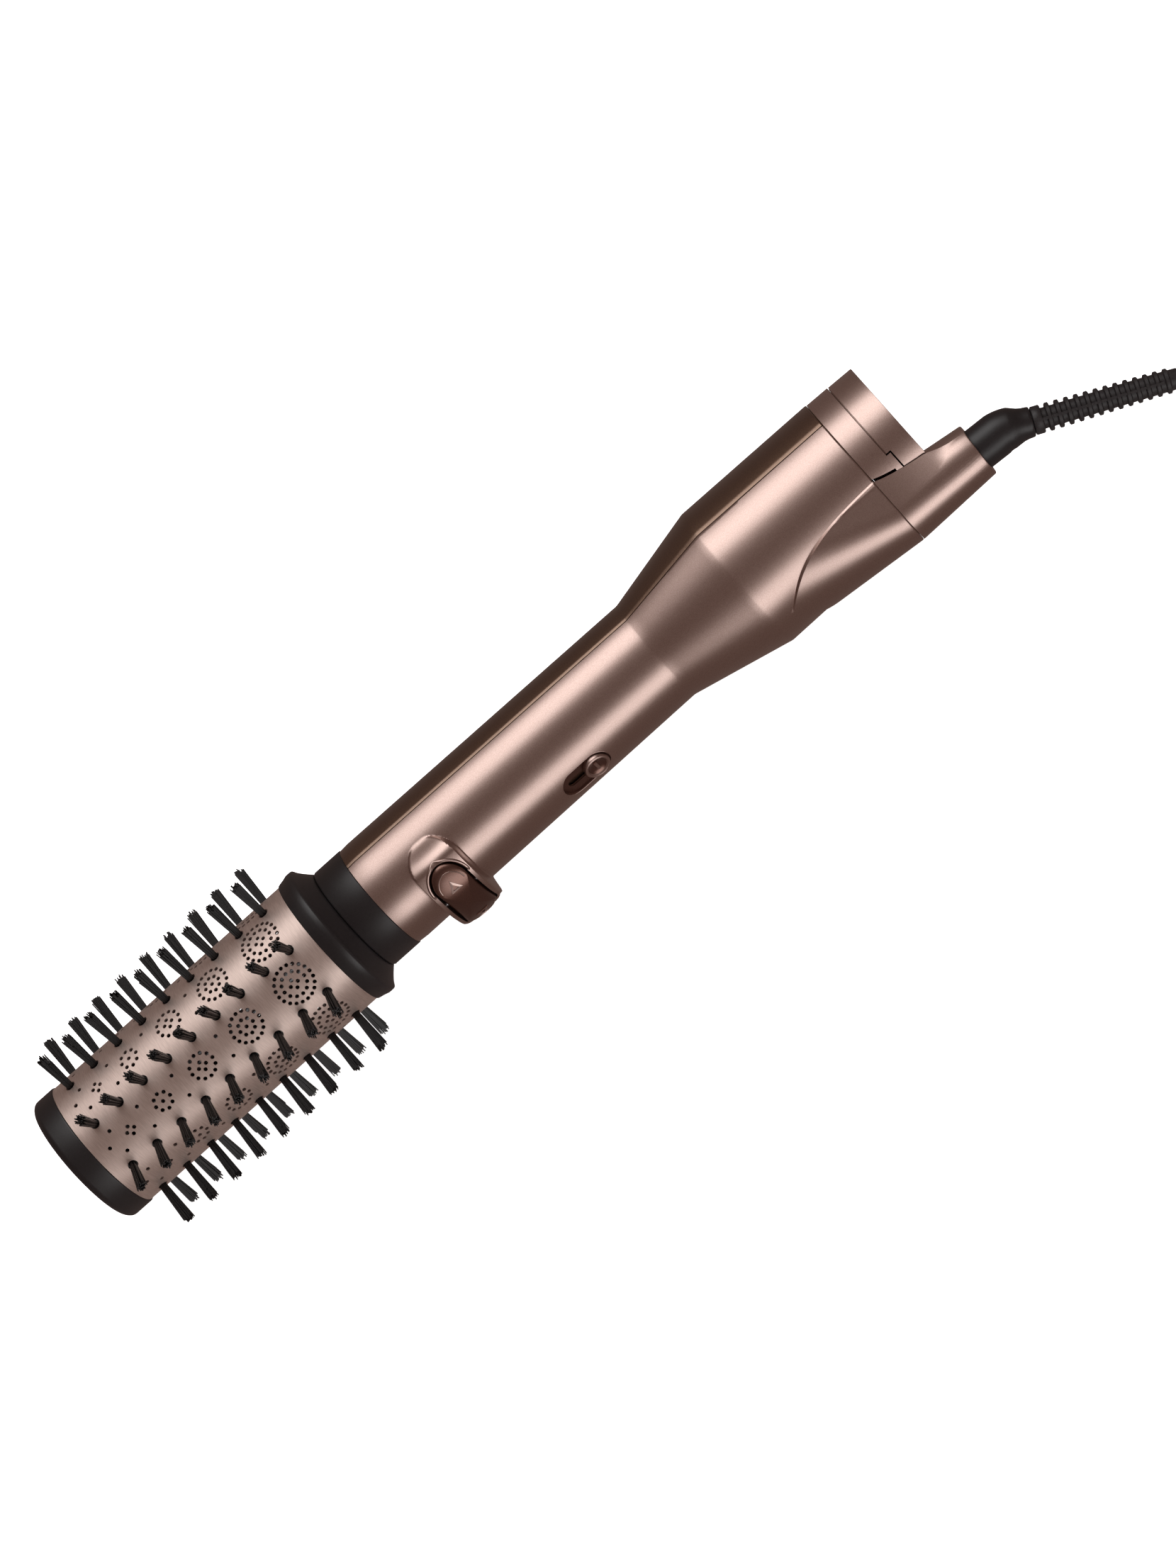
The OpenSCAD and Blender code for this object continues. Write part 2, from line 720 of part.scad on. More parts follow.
casing_screws();
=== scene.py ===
"""Rotating hot air brush: its visible surfaces, its lead and a plain studio, laid out as an add-on."""

import json
import math
import random

import bmesh
import bpy
from bpy.props import FloatProperty, IntProperty, PointerProperty, StringProperty
from mathutils import Matrix, Vector
from mathutils.geometry import delaunay_2d_cdt


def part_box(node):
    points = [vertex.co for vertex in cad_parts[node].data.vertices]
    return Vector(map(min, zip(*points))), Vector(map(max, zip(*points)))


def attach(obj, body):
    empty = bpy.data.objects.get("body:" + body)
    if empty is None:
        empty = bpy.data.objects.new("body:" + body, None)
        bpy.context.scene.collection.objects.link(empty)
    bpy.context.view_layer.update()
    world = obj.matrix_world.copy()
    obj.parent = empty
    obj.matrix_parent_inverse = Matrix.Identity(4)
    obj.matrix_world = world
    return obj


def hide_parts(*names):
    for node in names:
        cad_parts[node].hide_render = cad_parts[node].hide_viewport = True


bl_info = {
    "name": "Hot Air Brush",
    "version": (1, 0, 0),
    "blender": (4, 5, 0),
    "location": "3D View > Sidebar > Air Brush",
    "description": "Builds the visible pieces of a rotating hot air brush around its frame",
    "category": "Object",
}

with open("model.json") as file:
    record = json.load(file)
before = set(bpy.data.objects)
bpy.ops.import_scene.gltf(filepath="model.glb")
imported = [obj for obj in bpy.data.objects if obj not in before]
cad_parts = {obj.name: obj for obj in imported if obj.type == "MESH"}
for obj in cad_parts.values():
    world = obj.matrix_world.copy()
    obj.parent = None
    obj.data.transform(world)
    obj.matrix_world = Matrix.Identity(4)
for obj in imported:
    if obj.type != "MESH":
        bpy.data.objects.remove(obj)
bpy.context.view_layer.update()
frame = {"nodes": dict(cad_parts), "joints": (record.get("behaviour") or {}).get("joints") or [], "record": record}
JOINTS = {joint["name"]: joint for joint in frame["joints"]}
MM = 0.001
# Points nearer than this, in metres, become one
WELD = 1e-7

# Sizes in millimetres, in the tool's own frame: x runs rearward from the barrel's front edge,
# and the buttons face -y.
BARREL_R = 22.2
BARREL_LEN = 92.6
BARREL_WALL = 0.8
CAP_LEN = 8.7
CAP_R = 22.6
SPIGOT_R = 21.35
FLANGE_BORE_R = 14.2
FLANGE_LEN = 10.0
FLANGE_R = 23.5
HANDLE_R = 18.3
HANDLE_END_R = 17.65
COLLAR_X = 102.7
HANDLE_X = 113.3
NECK_X = 224.5
REAR_X = 257.2
RING_X = 306.3
REAR_R = 25.05
REAR_END_R = 24.6
RING_R = 24.4
RING_LEN = 8.1
RING_GAP = 0.12
# The small radius on the edges of the ring and the filter cap
EDGE_R = 0.16
FILTER_X = 314.7
FILTER_END_X = 323.5
FILTER_R = 24.1
GRILLE_WALL = 1.0
SHELL_WALL = 2.0
SPLIT_Y = 2.0
PARTING_GAP = 0.24
EDGE_LIP = 0.25
SLEEVE_LEN = 29.4
BOSS_Y = (22.2, 24.5)
BOSS_R = (11.0, 8.75)
BOSS_TURN = math.atan((BOSS_Y[1] - BOSS_Y[0]) / SLEEVE_LEN)
ELBOW_R = 6.7
BOOT_START = 9.2
ROWS = 8
TUFTS = 9
TUFT_START = 6.5
TUFT_PITCH = 9.8
TUFT_H = 14.1
GOLDEN_ANGLE = 2.39996
SOCKET_R = 1.6
# From the edge of one column's cell to its line, as an angle
COLUMN_START = -math.radians(17.3)
VENT_R = 0.65
ROCKER_X = 134.5
ROCKER_W = 11.3
ROCKER_LEN = 30.0
POD_W = 16.7
POD_H = 5.7
PAD_R = 25.3
PAD_GAP = 0.6
KNOB_X = 189.3
KNOB_R = 4.35
KNOB_TRAVEL = 7.8
RECESS_GAP = 0.5
RECESS_DEPTH = 1.2
SLOT_HALF_W = 1.5
ARCH_X = 262.5
ARCH_STEP = 0.45
SCREW_X = (HANDLE_X + 14, NECK_X - 10)

# The lead's route on the table, in millimetres in the row frame
CORD_D = 6.0
CORD_POINTS = [
    (229, -42, 5.2), (234, -43.7, 4), (239, -45.4, 3.2), (245, -47.4, 3),
    (255, -50.6, 3), (265, -53.6, 3), (275, -56.3, 3.1), (285, -58.5, 3.3),
    (296, -60.4, 3.6), (307, -61.6, 3.7), (318, -62, 3.7),
]
TAIL_POINTS = [(318, -56, 9.7), (328, -56, 9.7), (339, -56, 9.7), (350, -56, 9.7)]
COIL_CENTRE = (318, -11)
COIL_INNER = 27.0
COIL_Z = (3.7, 9.7)
LOW_TURNS = 4
TOP_TURNS = 3
CLIMB_DIP = 2.35
PLUG_X = 370.0
PLUG_Y = -56.0
PLUG_Z = 9.7
PIN_PITCH = 19.0

# Viewing angle: degrees from the buttons' direction, and the tool's slant across the picture
VIEW_TURN = math.radians(52)
VIEW_ROLL = math.radians(41.6)
# The camera's place and its target along the tool in millimetres, and its distance and drop in metres
VIEW_FROM_X = 320
VIEW_TO_X = 182.6
VIEW_DISTANCE = 1.58
VIEW_DROP = 0.0164
FLOOR_REACH = 6.0
FLOOR_DROP = 0.0005


def frame_matrix(origin, along, side, up, scale=MM):
    """From a frame at an origin, along three directions, to the row frame in metres."""
    columns = Matrix((along, side, up)).transposed().to_4x4()
    return Matrix.Translation(origin) @ columns @ Matrix.Scale(scale, 4)


def tool_matrix():
    """From the tool's own frame in millimetres to the row frame in metres."""
    along = Vector(JOINTS["brush_spin"]["axis"]).normalized()
    on_axis = Vector(JOINTS["brush_spin"]["pos_m"])
    side = Vector((0, 1, 0))
    up = along.cross(side).normalized()
    low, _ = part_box("brush_barrel")
    front_x = low.x + BARREL_R * MM * -along.z
    origin = on_axis + along * ((front_x - on_axis.x) / along.x)
    return frame_matrix(origin, along, side, up)


PLACE = tool_matrix()
ROW_MM = Matrix.Scale(MM, 4)


def boot_matrix():
    """From the strain relief's own frame in millimetres, x along it, to the row frame."""
    joint = JOINTS["cord_swivel"]
    along = Vector(joint["axis"]).normalized()
    side = Vector((0, 0, 1)).cross(along).normalized()
    return frame_matrix(Vector(joint["pos_m"]), along, side, along.cross(side))


def tool_direction(x, y, z):
    """A direction in the tool's own frame as a unit vector in the row frame."""
    return (PLACE.to_3x3() @ Vector((x, y, z))).normalized()


# ---------------------------------------------------------------- materials


def linear(hex_colour):
    """An sRGB hex colour as the linear values that a shader takes."""
    parts = [int(hex_colour[i:i + 2], 16) / 255 for i in (1, 3, 5)]
    return tuple(c / 12.92 if c <= 0.04045 else ((c + 0.055) / 1.055) ** 2.4 for c in parts) + (1.0,)


def add_node(tree, kind, settings=None, **links):
    """Adds a node, sets its properties and inputs, and links inputs given as sockets."""
    node = tree.nodes.new(kind)
    for key, value in (settings or {}).items():
        if hasattr(node, key):
            setattr(node, key, value)
        else:
            node.inputs[key].default_value = value
    for key, socket in links.items():
        tree.links.new(socket, node.inputs[key.replace("_", " ")])
    return node


def base_material(name, colour, metallic, roughness, **extra):
    """A new material with its node tree and its shader, set to a colour, metallic and roughness."""
    material = bpy.data.materials.new(name)
    material.use_nodes = True
    tree = material.node_tree
    shader = tree.nodes["Principled BSDF"]
    shader.inputs["Base Color"].default_value = linear(colour)
    shader.inputs["Metallic"].default_value = metallic
    shader.inputs["Roughness"].default_value = roughness
    for key, value in extra.items():
        shader.inputs[key.replace("_", " ")].default_value = value
    material.diffuse_color = linear(colour)
    return material, tree, shader


def grain(tree, shader, size_mm, depth_mm, colours, rough=None, stretch=(1, 1, 1)):
    """Noise of a real size in object space, for bump and for slight changes of colour and gloss."""
    where = add_node(tree, "ShaderNodeTexCoord")
    mapping = add_node(tree, "ShaderNodeMapping", {"Scale": stretch}, Vector=where.outputs["Object"])
    noise = add_node(tree, "ShaderNodeTexNoise", {"Scale": 1 / (size_mm * MM), "Detail": 3.0},
                     Vector=mapping.outputs["Vector"])
    bump = add_node(tree, "ShaderNodeBump", {"Distance": depth_mm * MM, "Strength": 1.0},
                    Height=noise.outputs["Fac"])
    tree.links.new(bump.outputs["Normal"], shader.inputs["Normal"])
    ramp = add_node(tree, "ShaderNodeValToRGB", None, Fac=noise.outputs["Fac"])
    for element, position, colour in zip(ramp.color_ramp.elements, (0.35, 0.65), colours):
        element.position = position
        element.color = linear(colour)
    tree.links.new(ramp.outputs["Color"], shader.inputs["Base Color"])
    if rough:
        gloss = add_node(tree, "ShaderNodeMapRange", {"To Min": rough[0], "To Max": rough[1]},
                         Value=noise.outputs["Fac"])
        tree.links.new(gloss.outputs["Result"], shader.inputs["Roughness"])


def metallic_paint(name, dark, light):
    """ABS sprayed with a satin metallic paint: fine flake under a thin clear coat, soft bands of light."""
    material, tree, shader = base_material(name, light, 1.0, 0.37, Coat_Weight=0.8, Coat_Roughness=0.26)
    # Real flake is 0.03 mm; it is drawn at 0.25 mm so that it shows.
    grain(tree, shader, 0.25, 0.004, (dark, light), (0.34, 0.4))
    return material


def anodised_aluminium():
    """Drawn aluminium tube, anodised champagne rose: a soft satin sheen with faint lines round the tube."""
    material, tree, shader = base_material("anodised_drawn_aluminium", CHOICES.barrel_hex, 0.9, 0.4)
    # Real draw lines are about 0.1 mm apart; they are drawn at 1.2 mm so that they show.
    grain(tree, shader, 1.2, 0.005, (CHOICES.barrel_dark_hex, CHOICES.barrel_hex), (0.42, 0.5), (6, 0.4, 0.4))
    return material


def moulded_black_abs():
    """Black ABS moulded in a lightly spark-eroded tool: deep black with a broad soft highlight."""
    material, tree, shader = base_material("moulded_black_abs", "#181516", 0.0, 0.42)
    grain(tree, shader, 0.4, 0.012, ("#151213", "#1B1718"), (0.39, 0.46))
    return material


def drawn_nylon():
    """Black nylon filament, drawn and cut: a thin gloss along each filament."""
    material, tree, shader = base_material("drawn_nylon_filament", "#141213", 0.0, 0.42, IOR=1.53)
    grain(tree, shader, 0.5, 0.01, ("#060505", "#0D0B0C"))
    return material


def pvc_lead():
    """Black PVC extruded round the cores of the lead: even satin with slight unevenness along it."""
    material, tree, shader = base_material("extruded_black_pvc", "#171516", 0.0, 0.46, IOR=1.52)
    grain(tree, shader, 1.5, 0.03, ("#141213", "#1C191A"), (0.42, 0.52))
    return material


def soft_tpe():
    """Strain relief moulded in soft TPE: duller and a little greyer than the casing's black."""
    material, tree, shader = base_material("moulded_soft_tpe", "#201D1E", 0.0, 0.5)
    grain(tree, shader, 0.5, 0.02, ("#1B1819", "#262223"), (0.46, 0.56))
    return material


def inner_finish(name, colour, metallic, roughness, size_mm, depth_mm, colours):
    """The finish of a piece inside the casing, with grain of one size."""
    material, tree, shader = base_material(name, colour, metallic, roughness)
    grain(tree, shader, size_mm, depth_mm, colours, (roughness - 0.04, roughness + 0.05))
    return material


def all_materials():
    """Each slot's material, and the two darker paints, by name."""
    return {
        "casing_paint": metallic_paint("metallic_paint_on_abs", CHOICES.casing_dark_hex, CHOICES.casing_hex),
        # The back half takes a darker copy of the same paint: painted shade on the side turned from the lamps, and
        # on the slot's shield
        "shaded_back_paint": metallic_paint("metallic_paint_as_painted_shade", "#6A5242", "#7A604E"),
        # The rocker's coat is darker and redder; the same paint is painted shade on the recess floor and in the
        # slide button's dish
        "rocker_and_shade_paint": metallic_paint("dark_metallic_paint_and_painted_shade", "#6C4C41", "#7A584C"),
        "barrel_metal": anodised_aluminium(),
        "black_plastic": moulded_black_abs(),
        "bristle_nylon": drawn_nylon(),
        "cord_rubber": pvc_lead(),
        "soft_tpe": soft_tpe(),
        # Turned steel: cool grey with fine cut marks
        "steel": inner_finish("turned_steel", "#A9A9AB", 1.0, 0.3, 0.3, 0.004, ("#9C9C9E", "#B4B4B6")),
        # Nickel-plated brass: warm bright metal
        "pin_brass": inner_finish("nickel_plated_brass", "#C9C2B0", 1.0, 0.22, 0.8, 0.002,
                                  ("#C0B9A6", "#D0CABA")),
        # Laminated mica: flaky straw-coloured board
        "mica": inner_finish("laminated_mica", "#B9A574", 0.0, 0.45, 2.0, 0.05, ("#A8935F", "#CBBA8C")),
        # Natural nylon: milky white mouldings
        "white_nylon": inner_finish("moulded_natural_nylon", "#DCD8CC", 0.0, 0.45, 0.6, 0.01,
                                    ("#D4D0C4", "#E2DED3")),
        # Lacquered glass-fibre laminate: glossy green
        "circuit_laminate": inner_finish("lacquered_glass_laminate", "#1E5A36", 0.0, 0.25, 1.0, 0.01,
                                         ("#1A5030", "#24663E")),
        # Woven stainless filter cloth: dull grey with a fine rough weave
        "filter_mesh": inner_finish("woven_stainless", "#55524F", 1.0, 0.4, 0.6, 0.2,
                                    ("#3F3D3B", "#6B6865")),
    }


# ---------------------------------------------------------------- mesh helpers


def new_object(name, data):
    """An object that holds the data, linked to the scene."""
    thing = bpy.data.objects.new(name, data)
    bpy.context.scene.collection.objects.link(thing)
    return thing


def welded(name, verts, faces, matrix):
    """An object of points and faces given in the matrix's frame, with its normals made consistent."""
    mesh = bpy.data.meshes.new(name)
    mesh.from_pydata([matrix @ Vector(v) for v in verts], [], faces)
    work = bmesh.new()
    work.from_mesh(mesh)
    bmesh.ops.remove_doubles(work, verts=work.verts, dist=WELD)
    bmesh.ops.recalc_face_normals(work, faces=work.faces)
    work.to_mesh(mesh)
    work.free()
    return new_object(name, mesh)


def make_mesh(name, verts, faces, matrix, slot, angle=32, material=None):
    """A finished mesh object in the row frame, from points and faces in the matrix's frame."""
    piece = welded(name, verts, faces, matrix)
    finish_mesh(piece, slot, angle, material)
    return piece


def finish_mesh(piece, slot, angle=32, material=None):
    """Smooth shading up to an angle in degrees, and the slot's material unless another is named."""
    mesh = piece.data
    mesh.polygons.foreach_set("use_smooth", [True] * len(mesh.polygons))
    mesh.set_sharp_from_angle(angle=math.radians(angle))
    mesh.materials.clear()
    mesh.materials.append(MATERIALS[material or slot])


def apply_modifiers(piece):
    """Makes the mesh that the piece's modifiers give its own."""
    depsgraph = bpy.context.evaluated_depsgraph_get()
    result = bpy.data.meshes.new_from_object(piece.evaluated_get(depsgraph))
    piece.modifiers.clear()
    piece.data = result


def thicken(piece, thickness, offset):
    """Gives a sheet a thickness in millimetres, inward at offset -1 and to both sides at 0."""
    wall = piece.modifiers.new("wall", "SOLIDIFY")
    wall.thickness = thickness * MM
    wall.offset = offset
    apply_modifiers(piece)


def settle(piece, body, *nodes):
    """The piece rides on its body and stands for the nodes it replaces."""
    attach(piece, body)
    if nodes:
        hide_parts(*nodes)


def lathe(points, sides=128):
    """Closed solid of revolution about x from points (x, r) that run round the profile."""
    verts, faces, rings = [], [], []
    for x, r in points:
        if r < 1e-6:
            rings.append([len(verts)] * sides)
            verts.append((x, 0, 0))
            continue
        rings.append(list(range(len(verts), len(verts) + sides)))
        for k in range(sides):
            a = 2 * math.pi * k / sides
            verts.append((x, r * math.cos(a), r * math.sin(a)))
    for i in range(len(rings) - 1):
        faces += ring_faces(rings[i], rings[i + 1])
    if points[0][1] > 1e-6 or points[-1][1] > 1e-6:
        faces += ring_faces(rings[-1], rings[0])
    return verts, faces


def join_data(verts, faces, part):
    """Adds a solid's points and faces to lists of points and faces."""
    base = len(verts)
    verts.extend(part[0])
    faces.extend([base + v for v in face] for face in part[1])


def ring_faces(one, two):
    """Faces between two rings of point numbers, triangles where points coincide."""
    count = len(one)
    found = []
    for k in range(count):
        quad = [one[k], one[(k + 1) % count], two[(k + 1) % count], two[k]]
        loop = [v for i, v in enumerate(quad) if v not in quad[:i]]
        if len(loop) > 2:
            found.append(loop)
    return found


def loft(rings, caps=True):
    """Solid through rings of points, all with the same number of points."""
    count = len(rings[0])
    verts = [p for ring in rings for p in ring]
    index = [list(range(i * count, (i + 1) * count)) for i in range(len(rings))]
    faces = []
    for one, two in zip(index, index[1:]):
        faces += ring_faces(one, two)
    if caps:
        faces += [index[0][::-1], index[-1]]
    return verts, faces


def sweep(path, radii, sides=32):
    """Round solid along a path, with a radius at each of its points."""
    rings = []
    side = None
    for i, point in enumerate(path):
        ahead = (Vector(path[min(i + 1, len(path) - 1)]) - Vector(path[max(i - 1, 0)])).normalized()
        if side is None:
            side = ahead.orthogonal().normalized()
        side = (side - ahead * side.dot(ahead)).normalized()
        up = ahead.cross(side)
        rings.append([tuple(Vector(point) + radii[i] * (math.cos(a) * side + math.sin(a) * up))
                      for a in (2 * math.pi * k / sides for k in range(sides))])
    return loft(rings)


def sweep_loop(path, radius, sides):
    """Closed round bead along a closed path that lies on the casing."""
    count = len(path)
    rings = []
    for i, point in enumerate(path):
        ahead = (Vector(path[(i + 1) % count]) - Vector(path[i - 1])).normalized()
        out = axis_out(point)
        side = ahead.cross(out).normalized()
        rings.append([tuple(Vector(point) + radius * (math.cos(a) * side + math.sin(a) * out))
                      for a in (2 * math.pi * k / sides for k in range(sides))])
    return loft(rings + [rings[0]], caps=False)


def corner_curve(start, corner, end, t):
    """A point of the curve that rounds a corner, from start at 0 to end at 1."""
    return (1 - t) ** 2 * start + 2 * t * (1 - t) * corner + t ** 2 * end


def rounded(points, radius, steps=5):
    """Profile points with each corner rounded by an arc-like curve of about that radius."""
    result = []
    count = len(points)
    for i, p in enumerate(points):
        here = Vector(p)
        before = Vector(points[i - 1])
        after = Vector(points[(i + 1) % count])
        if p[1] < 1e-6:
            result.append(tuple(p))
            continue
        r = min(radius, (before - here).length * 0.45, (after - here).length * 0.45)
        start = here + (before - here).normalized() * r
        end = here + (after - here).normalized() * r
        result += [tuple(corner_curve(start, here, end, k / steps)) for k in range(steps + 1)]
    return result


def boolean(piece, cutter_data, matrix, operation="DIFFERENCE"):
    """Cuts away or joins on a solid, given as (verts, faces) in the matrix's frame."""
    cutter = welded("cutter", *cutter_data, matrix)
    modifier = piece.modifiers.new("cut", "BOOLEAN")
    modifier.operation = operation
    modifier.solver = "EXACT"
    modifier.object = cutter
    apply_modifiers(piece)
    bpy.data.objects.remove(cutter)


def stadium(cx, half_x, half_z, count=64):
    """Outline with round ends in the xz plane, as (x, z)."""
    r = min(half_x, half_z)
    dx, dz = half_x - r, half_z - r
    points = []
    for k in range(count):
        a = 2 * math.pi * (k + 0.5) / count
        c, s = math.cos(a), math.sin(a)
        points.append((cx + r * c + math.copysign(dx, c), r * s + math.copysign(dz, s)))
    return points


def prism(outline, y0, y1):
    """Solid of an outline in the xz plane, from y0 to y1."""
    return loft([[(x, y0, z) for x, z in outline], [(x, y1, z) for x, z in outline]])


def smooth(t):
    """Eases from 0 to 1 as t does, level at both ends."""
    t = max(0.0, min(1.0, t))
    return t * t * (3 - 2 * t)


# ---------------------------------------------------------------- shapes


def casing_radius(x):
    """Radius of the casing along the tool, without the pod and the fairing."""
    if x <= NECK_X:
        return HANDLE_R + (HANDLE_END_R - HANDLE_R) * (x - HANDLE_X) / (NECK_X - HANDLE_X)
    if x <= REAR_X:
        return HANDLE_END_R + (REAR_R - HANDLE_END_R) * (x - NECK_X) / (REAR_X - NECK_X)
    return REAR_R + (REAR_END_R - REAR_R) * (x - REAR_X) / (RING_X - REAR_X)


def teardrop(angle, main_r, boss_y, boss_r):
    """Distance from the axis, at an angle from the buttons' side, of the outline round two circles."""
    tangent = math.acos(max(-1, min(1, (main_r - boss_r) / max(boss_y, 1e-6))))
    a = abs(angle)
    # The boss circle as seen from the axis
    under = boss_r ** 2 - (boss_y * math.sin(a)) ** 2
    touch = Vector((boss_y + boss_r * math.cos(tangent), boss_r * math.sin(tangent)))
    if a <= math.atan2(touch.y, touch.x) and under >= 0:
        return boss_y * math.cos(a) + math.sqrt(under)
    if a <= tangent:
        return main_r / math.cos(tangent - a)
    return main_r


def pod_height(x, angle):
    """Height of the pod round the rocker above the handle."""
    a = math.degrees(abs(angle))
    reach = max(0.0, 1 - max(0.0, (a - 36) / 31) ** 2)
    half = POD_W / 2 * math.sqrt(reach)
    if half <= 0:
        return 0.0
    side = smooth((half - abs(x - ROCKER_X)) / 0.9)
    ramp = smooth((67 - a) / 27)
    crown = 1 - 0.12 * ((x - ROCKER_X) / (POD_W / 2)) ** 2
    return POD_H * side * ramp * crown


def arch_angle(x):
    """Half angle of the fairing's arched outline, from the buttons' line."""
    if x < ARCH_X:
        return math.radians(30 + (3 - 30) * smooth((x - NECK_X) / (ARCH_X - NECK_X)))
    return math.radians(max(3.0, 38 * (1 - math.exp(-(x - ARCH_X) / 11))))


def outer_radius(x, angle):
    """Radius of the casing with its pod and its fairing, at an angle from the buttons' line."""
    r = casing_radius(x)
    if abs(x - ROCKER_X) < POD_W:
        r += pod_height(x, angle)
    if x > REAR_X:
        t = (x - REAR_X) / (RING_X - REAR_X)
        shell = teardrop(angle, REAR_R - 1.0 - 0.7 * t, BOSS_Y[0] * t,
                         (REAR_R - 1.0) * (1 - t) + BOSS_R[0] * t)
        if x > ARCH_X and abs(angle) <= arch_angle(x) + 1e-6:
            r = max(r + ARCH_STEP * smooth((x - ARCH_X) / 12), shell)
    return r


def stations():
    """Places along the casing, closer at the pod, the creases and the fairing."""
    marks = [HANDLE_X]
    x = HANDLE_X
    while x < RING_X - 0.01:
        near_pod = abs(x - ROCKER_X) < POD_W / 2 + 1.5
        step = 0.3 if near_pod else (0.5 if REAR_X < x < 285 else (1.1 if x > REAR_X else 3.0))
        nxt = x + step
        for crease in (NECK_X - 0.35, NECK_X + 0.35, REAR_X - 0.35, REAR_X + 0.35, RING_X):
            if x < crease - 1e-6 < nxt:
                nxt = crease
        x = min(nxt, RING_X)
        marks.append(x)
    return marks


def evenly(first, last, count):
    """Numbers in equal steps from first, ending one step before last."""
    return [first + (last - first) * k / count for k in range(count)]


def shell_solid(front):
    """One half of the casing as a closed solid: the button side if front, else the back."""
    outer, inner = [], []
    places = stations()
    for i, x in enumerate(places):
        r0 = casing_radius(x)
        split = math.acos(-SPLIT_Y / r0)
        gap = PARTING_GAP / 2 / r0
        if front:
            # Lines of points follow the arch's edge, with its small step between two of them
            edge, step = arch_angle(x), math.radians(1.1)
            half = evenly(edge, 0, 40) + [0]
            wing = evenly(split - gap, edge + step, 62) + [edge + step]
            angles = [-a for a in wing + half] + (wing + half)[-2::-1]
        else:
            end = 2 * math.pi - split - gap
            angles = evenly(split + gap, end, 90) + [end]
        lip = EDGE_LIP if i in (0, len(places) - 1) else 0.0
        row_out, row_in = [], []
        for k, a in enumerate(angles):
            turn = a if a <= math.pi else a - 2 * math.pi
            r = outer_radius(x, turn) - lip
            if k in (0, len(angles) - 1):
                r -= EDGE_LIP
            r_in = r0 - SHELL_WALL
            row_out.append((x, -r * math.cos(a), r * math.sin(a)))
            row_in.append((x, -r_in * math.cos(a), r_in * math.sin(a)))
        outer.append(row_out)
        inner.append(row_in)
    rings = [row_out + row_in[::-1] for row_out, row_in in zip(outer, inner)]
    return loft(rings)


def vent_holes():
    """Centres of one column's small holes, as (along, round) in millimetres from the column's line."""
    found = [(5.1, 0.0)]
    rosettes = [(79.5, [(4, 1.4), (12, 3.9), (20, 6.1)]), (60.3, [(1, 0), (8, 2.5), (16, 5.0)]),
                (42.5, [(4, 1.4), (12, 4.0)]), (26.6, [(1, 0), (8, 2.8)]), (13.5, [(4, 1.4)])]
    for place, rings in rosettes:
        for number, radius in rings:
            for k in range(number):
                a = 2 * math.pi * k / number
                found.append((place + radius * math.cos(a), radius * math.sin(a)))
    aside = BARREL_R * math.radians(10.3)
    for place in (51.4, 33.6, 19.6, 8.5):
        found += [(place, -aside), (place, aside)]
    return found


def flat_with_holes(width, height, holes, spacing):
    """Triangles of a plate from 0 to width and 0 to height, with round holes (x, y, r, sides)."""
    points, edges = [], []

    def closed(loop):
        start = len(points)
        points.extend(loop)
        edges.extend((start + k, start + (k + 1) % len(loop)) for k in range(len(loop)))

    rows = round(height / spacing)
    columns = round(width / spacing)
    border = [(width * k / columns, 0) for k in range(columns)]
    border += [(width, height * k / rows) for k in range(rows)]
    border += [(width - width * k / columns, height) for k in range(columns)]
    border += [(0, height - height * k / rows) for k in range(rows)]
    closed(border)
    for x, y, r, sides in holes:
        closed([(x + r * math.cos(2 * math.pi * k / sides), y + r * math.sin(2 * math.pi * k / sides))
                for k in range(sides)])
    for i in range(1, columns):
        for j in range(1, rows):
            p = (width * i / columns, height * j / rows)
            if all((p[0] - x) ** 2 + (p[1] - y) ** 2 > (r + 0.3 * spacing) ** 2 for x, y, r, _ in holes):
                points.append(p)
    verts, _, faces, _, _, _ = delaunay_2d_cdt([Vector(p) for p in points], edges, [], 0, 1e-5)
    kept = []
    for face in faces:
        cx = sum(verts[v].x for v in face) / len(face)
        cy = sum(verts[v].y for v in face) / len(face)
        if not any((cx - x) ** 2 + (cy - y) ** 2 < (r * 0.98) ** 2 for x, y, r, _ in holes):
            kept.append(list(face))
    return [tuple(v) for v in verts], kept


def build_barrel():
    """The barrel's tube, with its air holes and the sockets of its tufts."""
    column_angle = 2 * math.pi / ROWS
    holes = [(along, aside - COLUMN_START * BARREL_R, VENT_R, 10) for along, aside in vent_holes()]
    midway = (column_angle / 2 - COLUMN_START) * BARREL_R
    for k in range(TUFTS):
        holes.append((TUFT_START + k * TUFT_PITCH, midway, SOCKET_R, 24))
    flat, flat_faces = flat_with_holes(BARREL_LEN, column_angle * BARREL_R, holes, 1.05)
    verts, faces = [], []
    for column in range(ROWS):
        # Columns stand midway between the rows, on the buttons' side and every 45 degrees
        turns = [COLUMN_START + round_way / BARREL_R + column * column_angle for _, round_way in flat]
        bent = [(along, -BARREL_R * math.cos(a), BARREL_R * math.sin(a))
                for (along, _), a in zip(flat, turns)]
        join_data(verts, faces, (bent, flat_faces))
    piece = make_mesh("barrel_tube", verts, faces, PLACE, "barrel_metal", 180)
    # The wall is added inward, so the tube's normals have to point outward
    face = piece.data.polygons[0]
    out = face.center - PLACE @ Vector((BARREL_LEN / 2, 0, 0))
    axis = tool_direction(1, 0, 0)
    if face.normal.dot(out - axis * out.dot(axis)) < 0:
        piece.data.flip_normals()
    thicken(piece, BARREL_WALL, -1)
    finish_mesh(piece, "barrel_metal", 40)
    settle(piece, "brush", "brush_barrel")


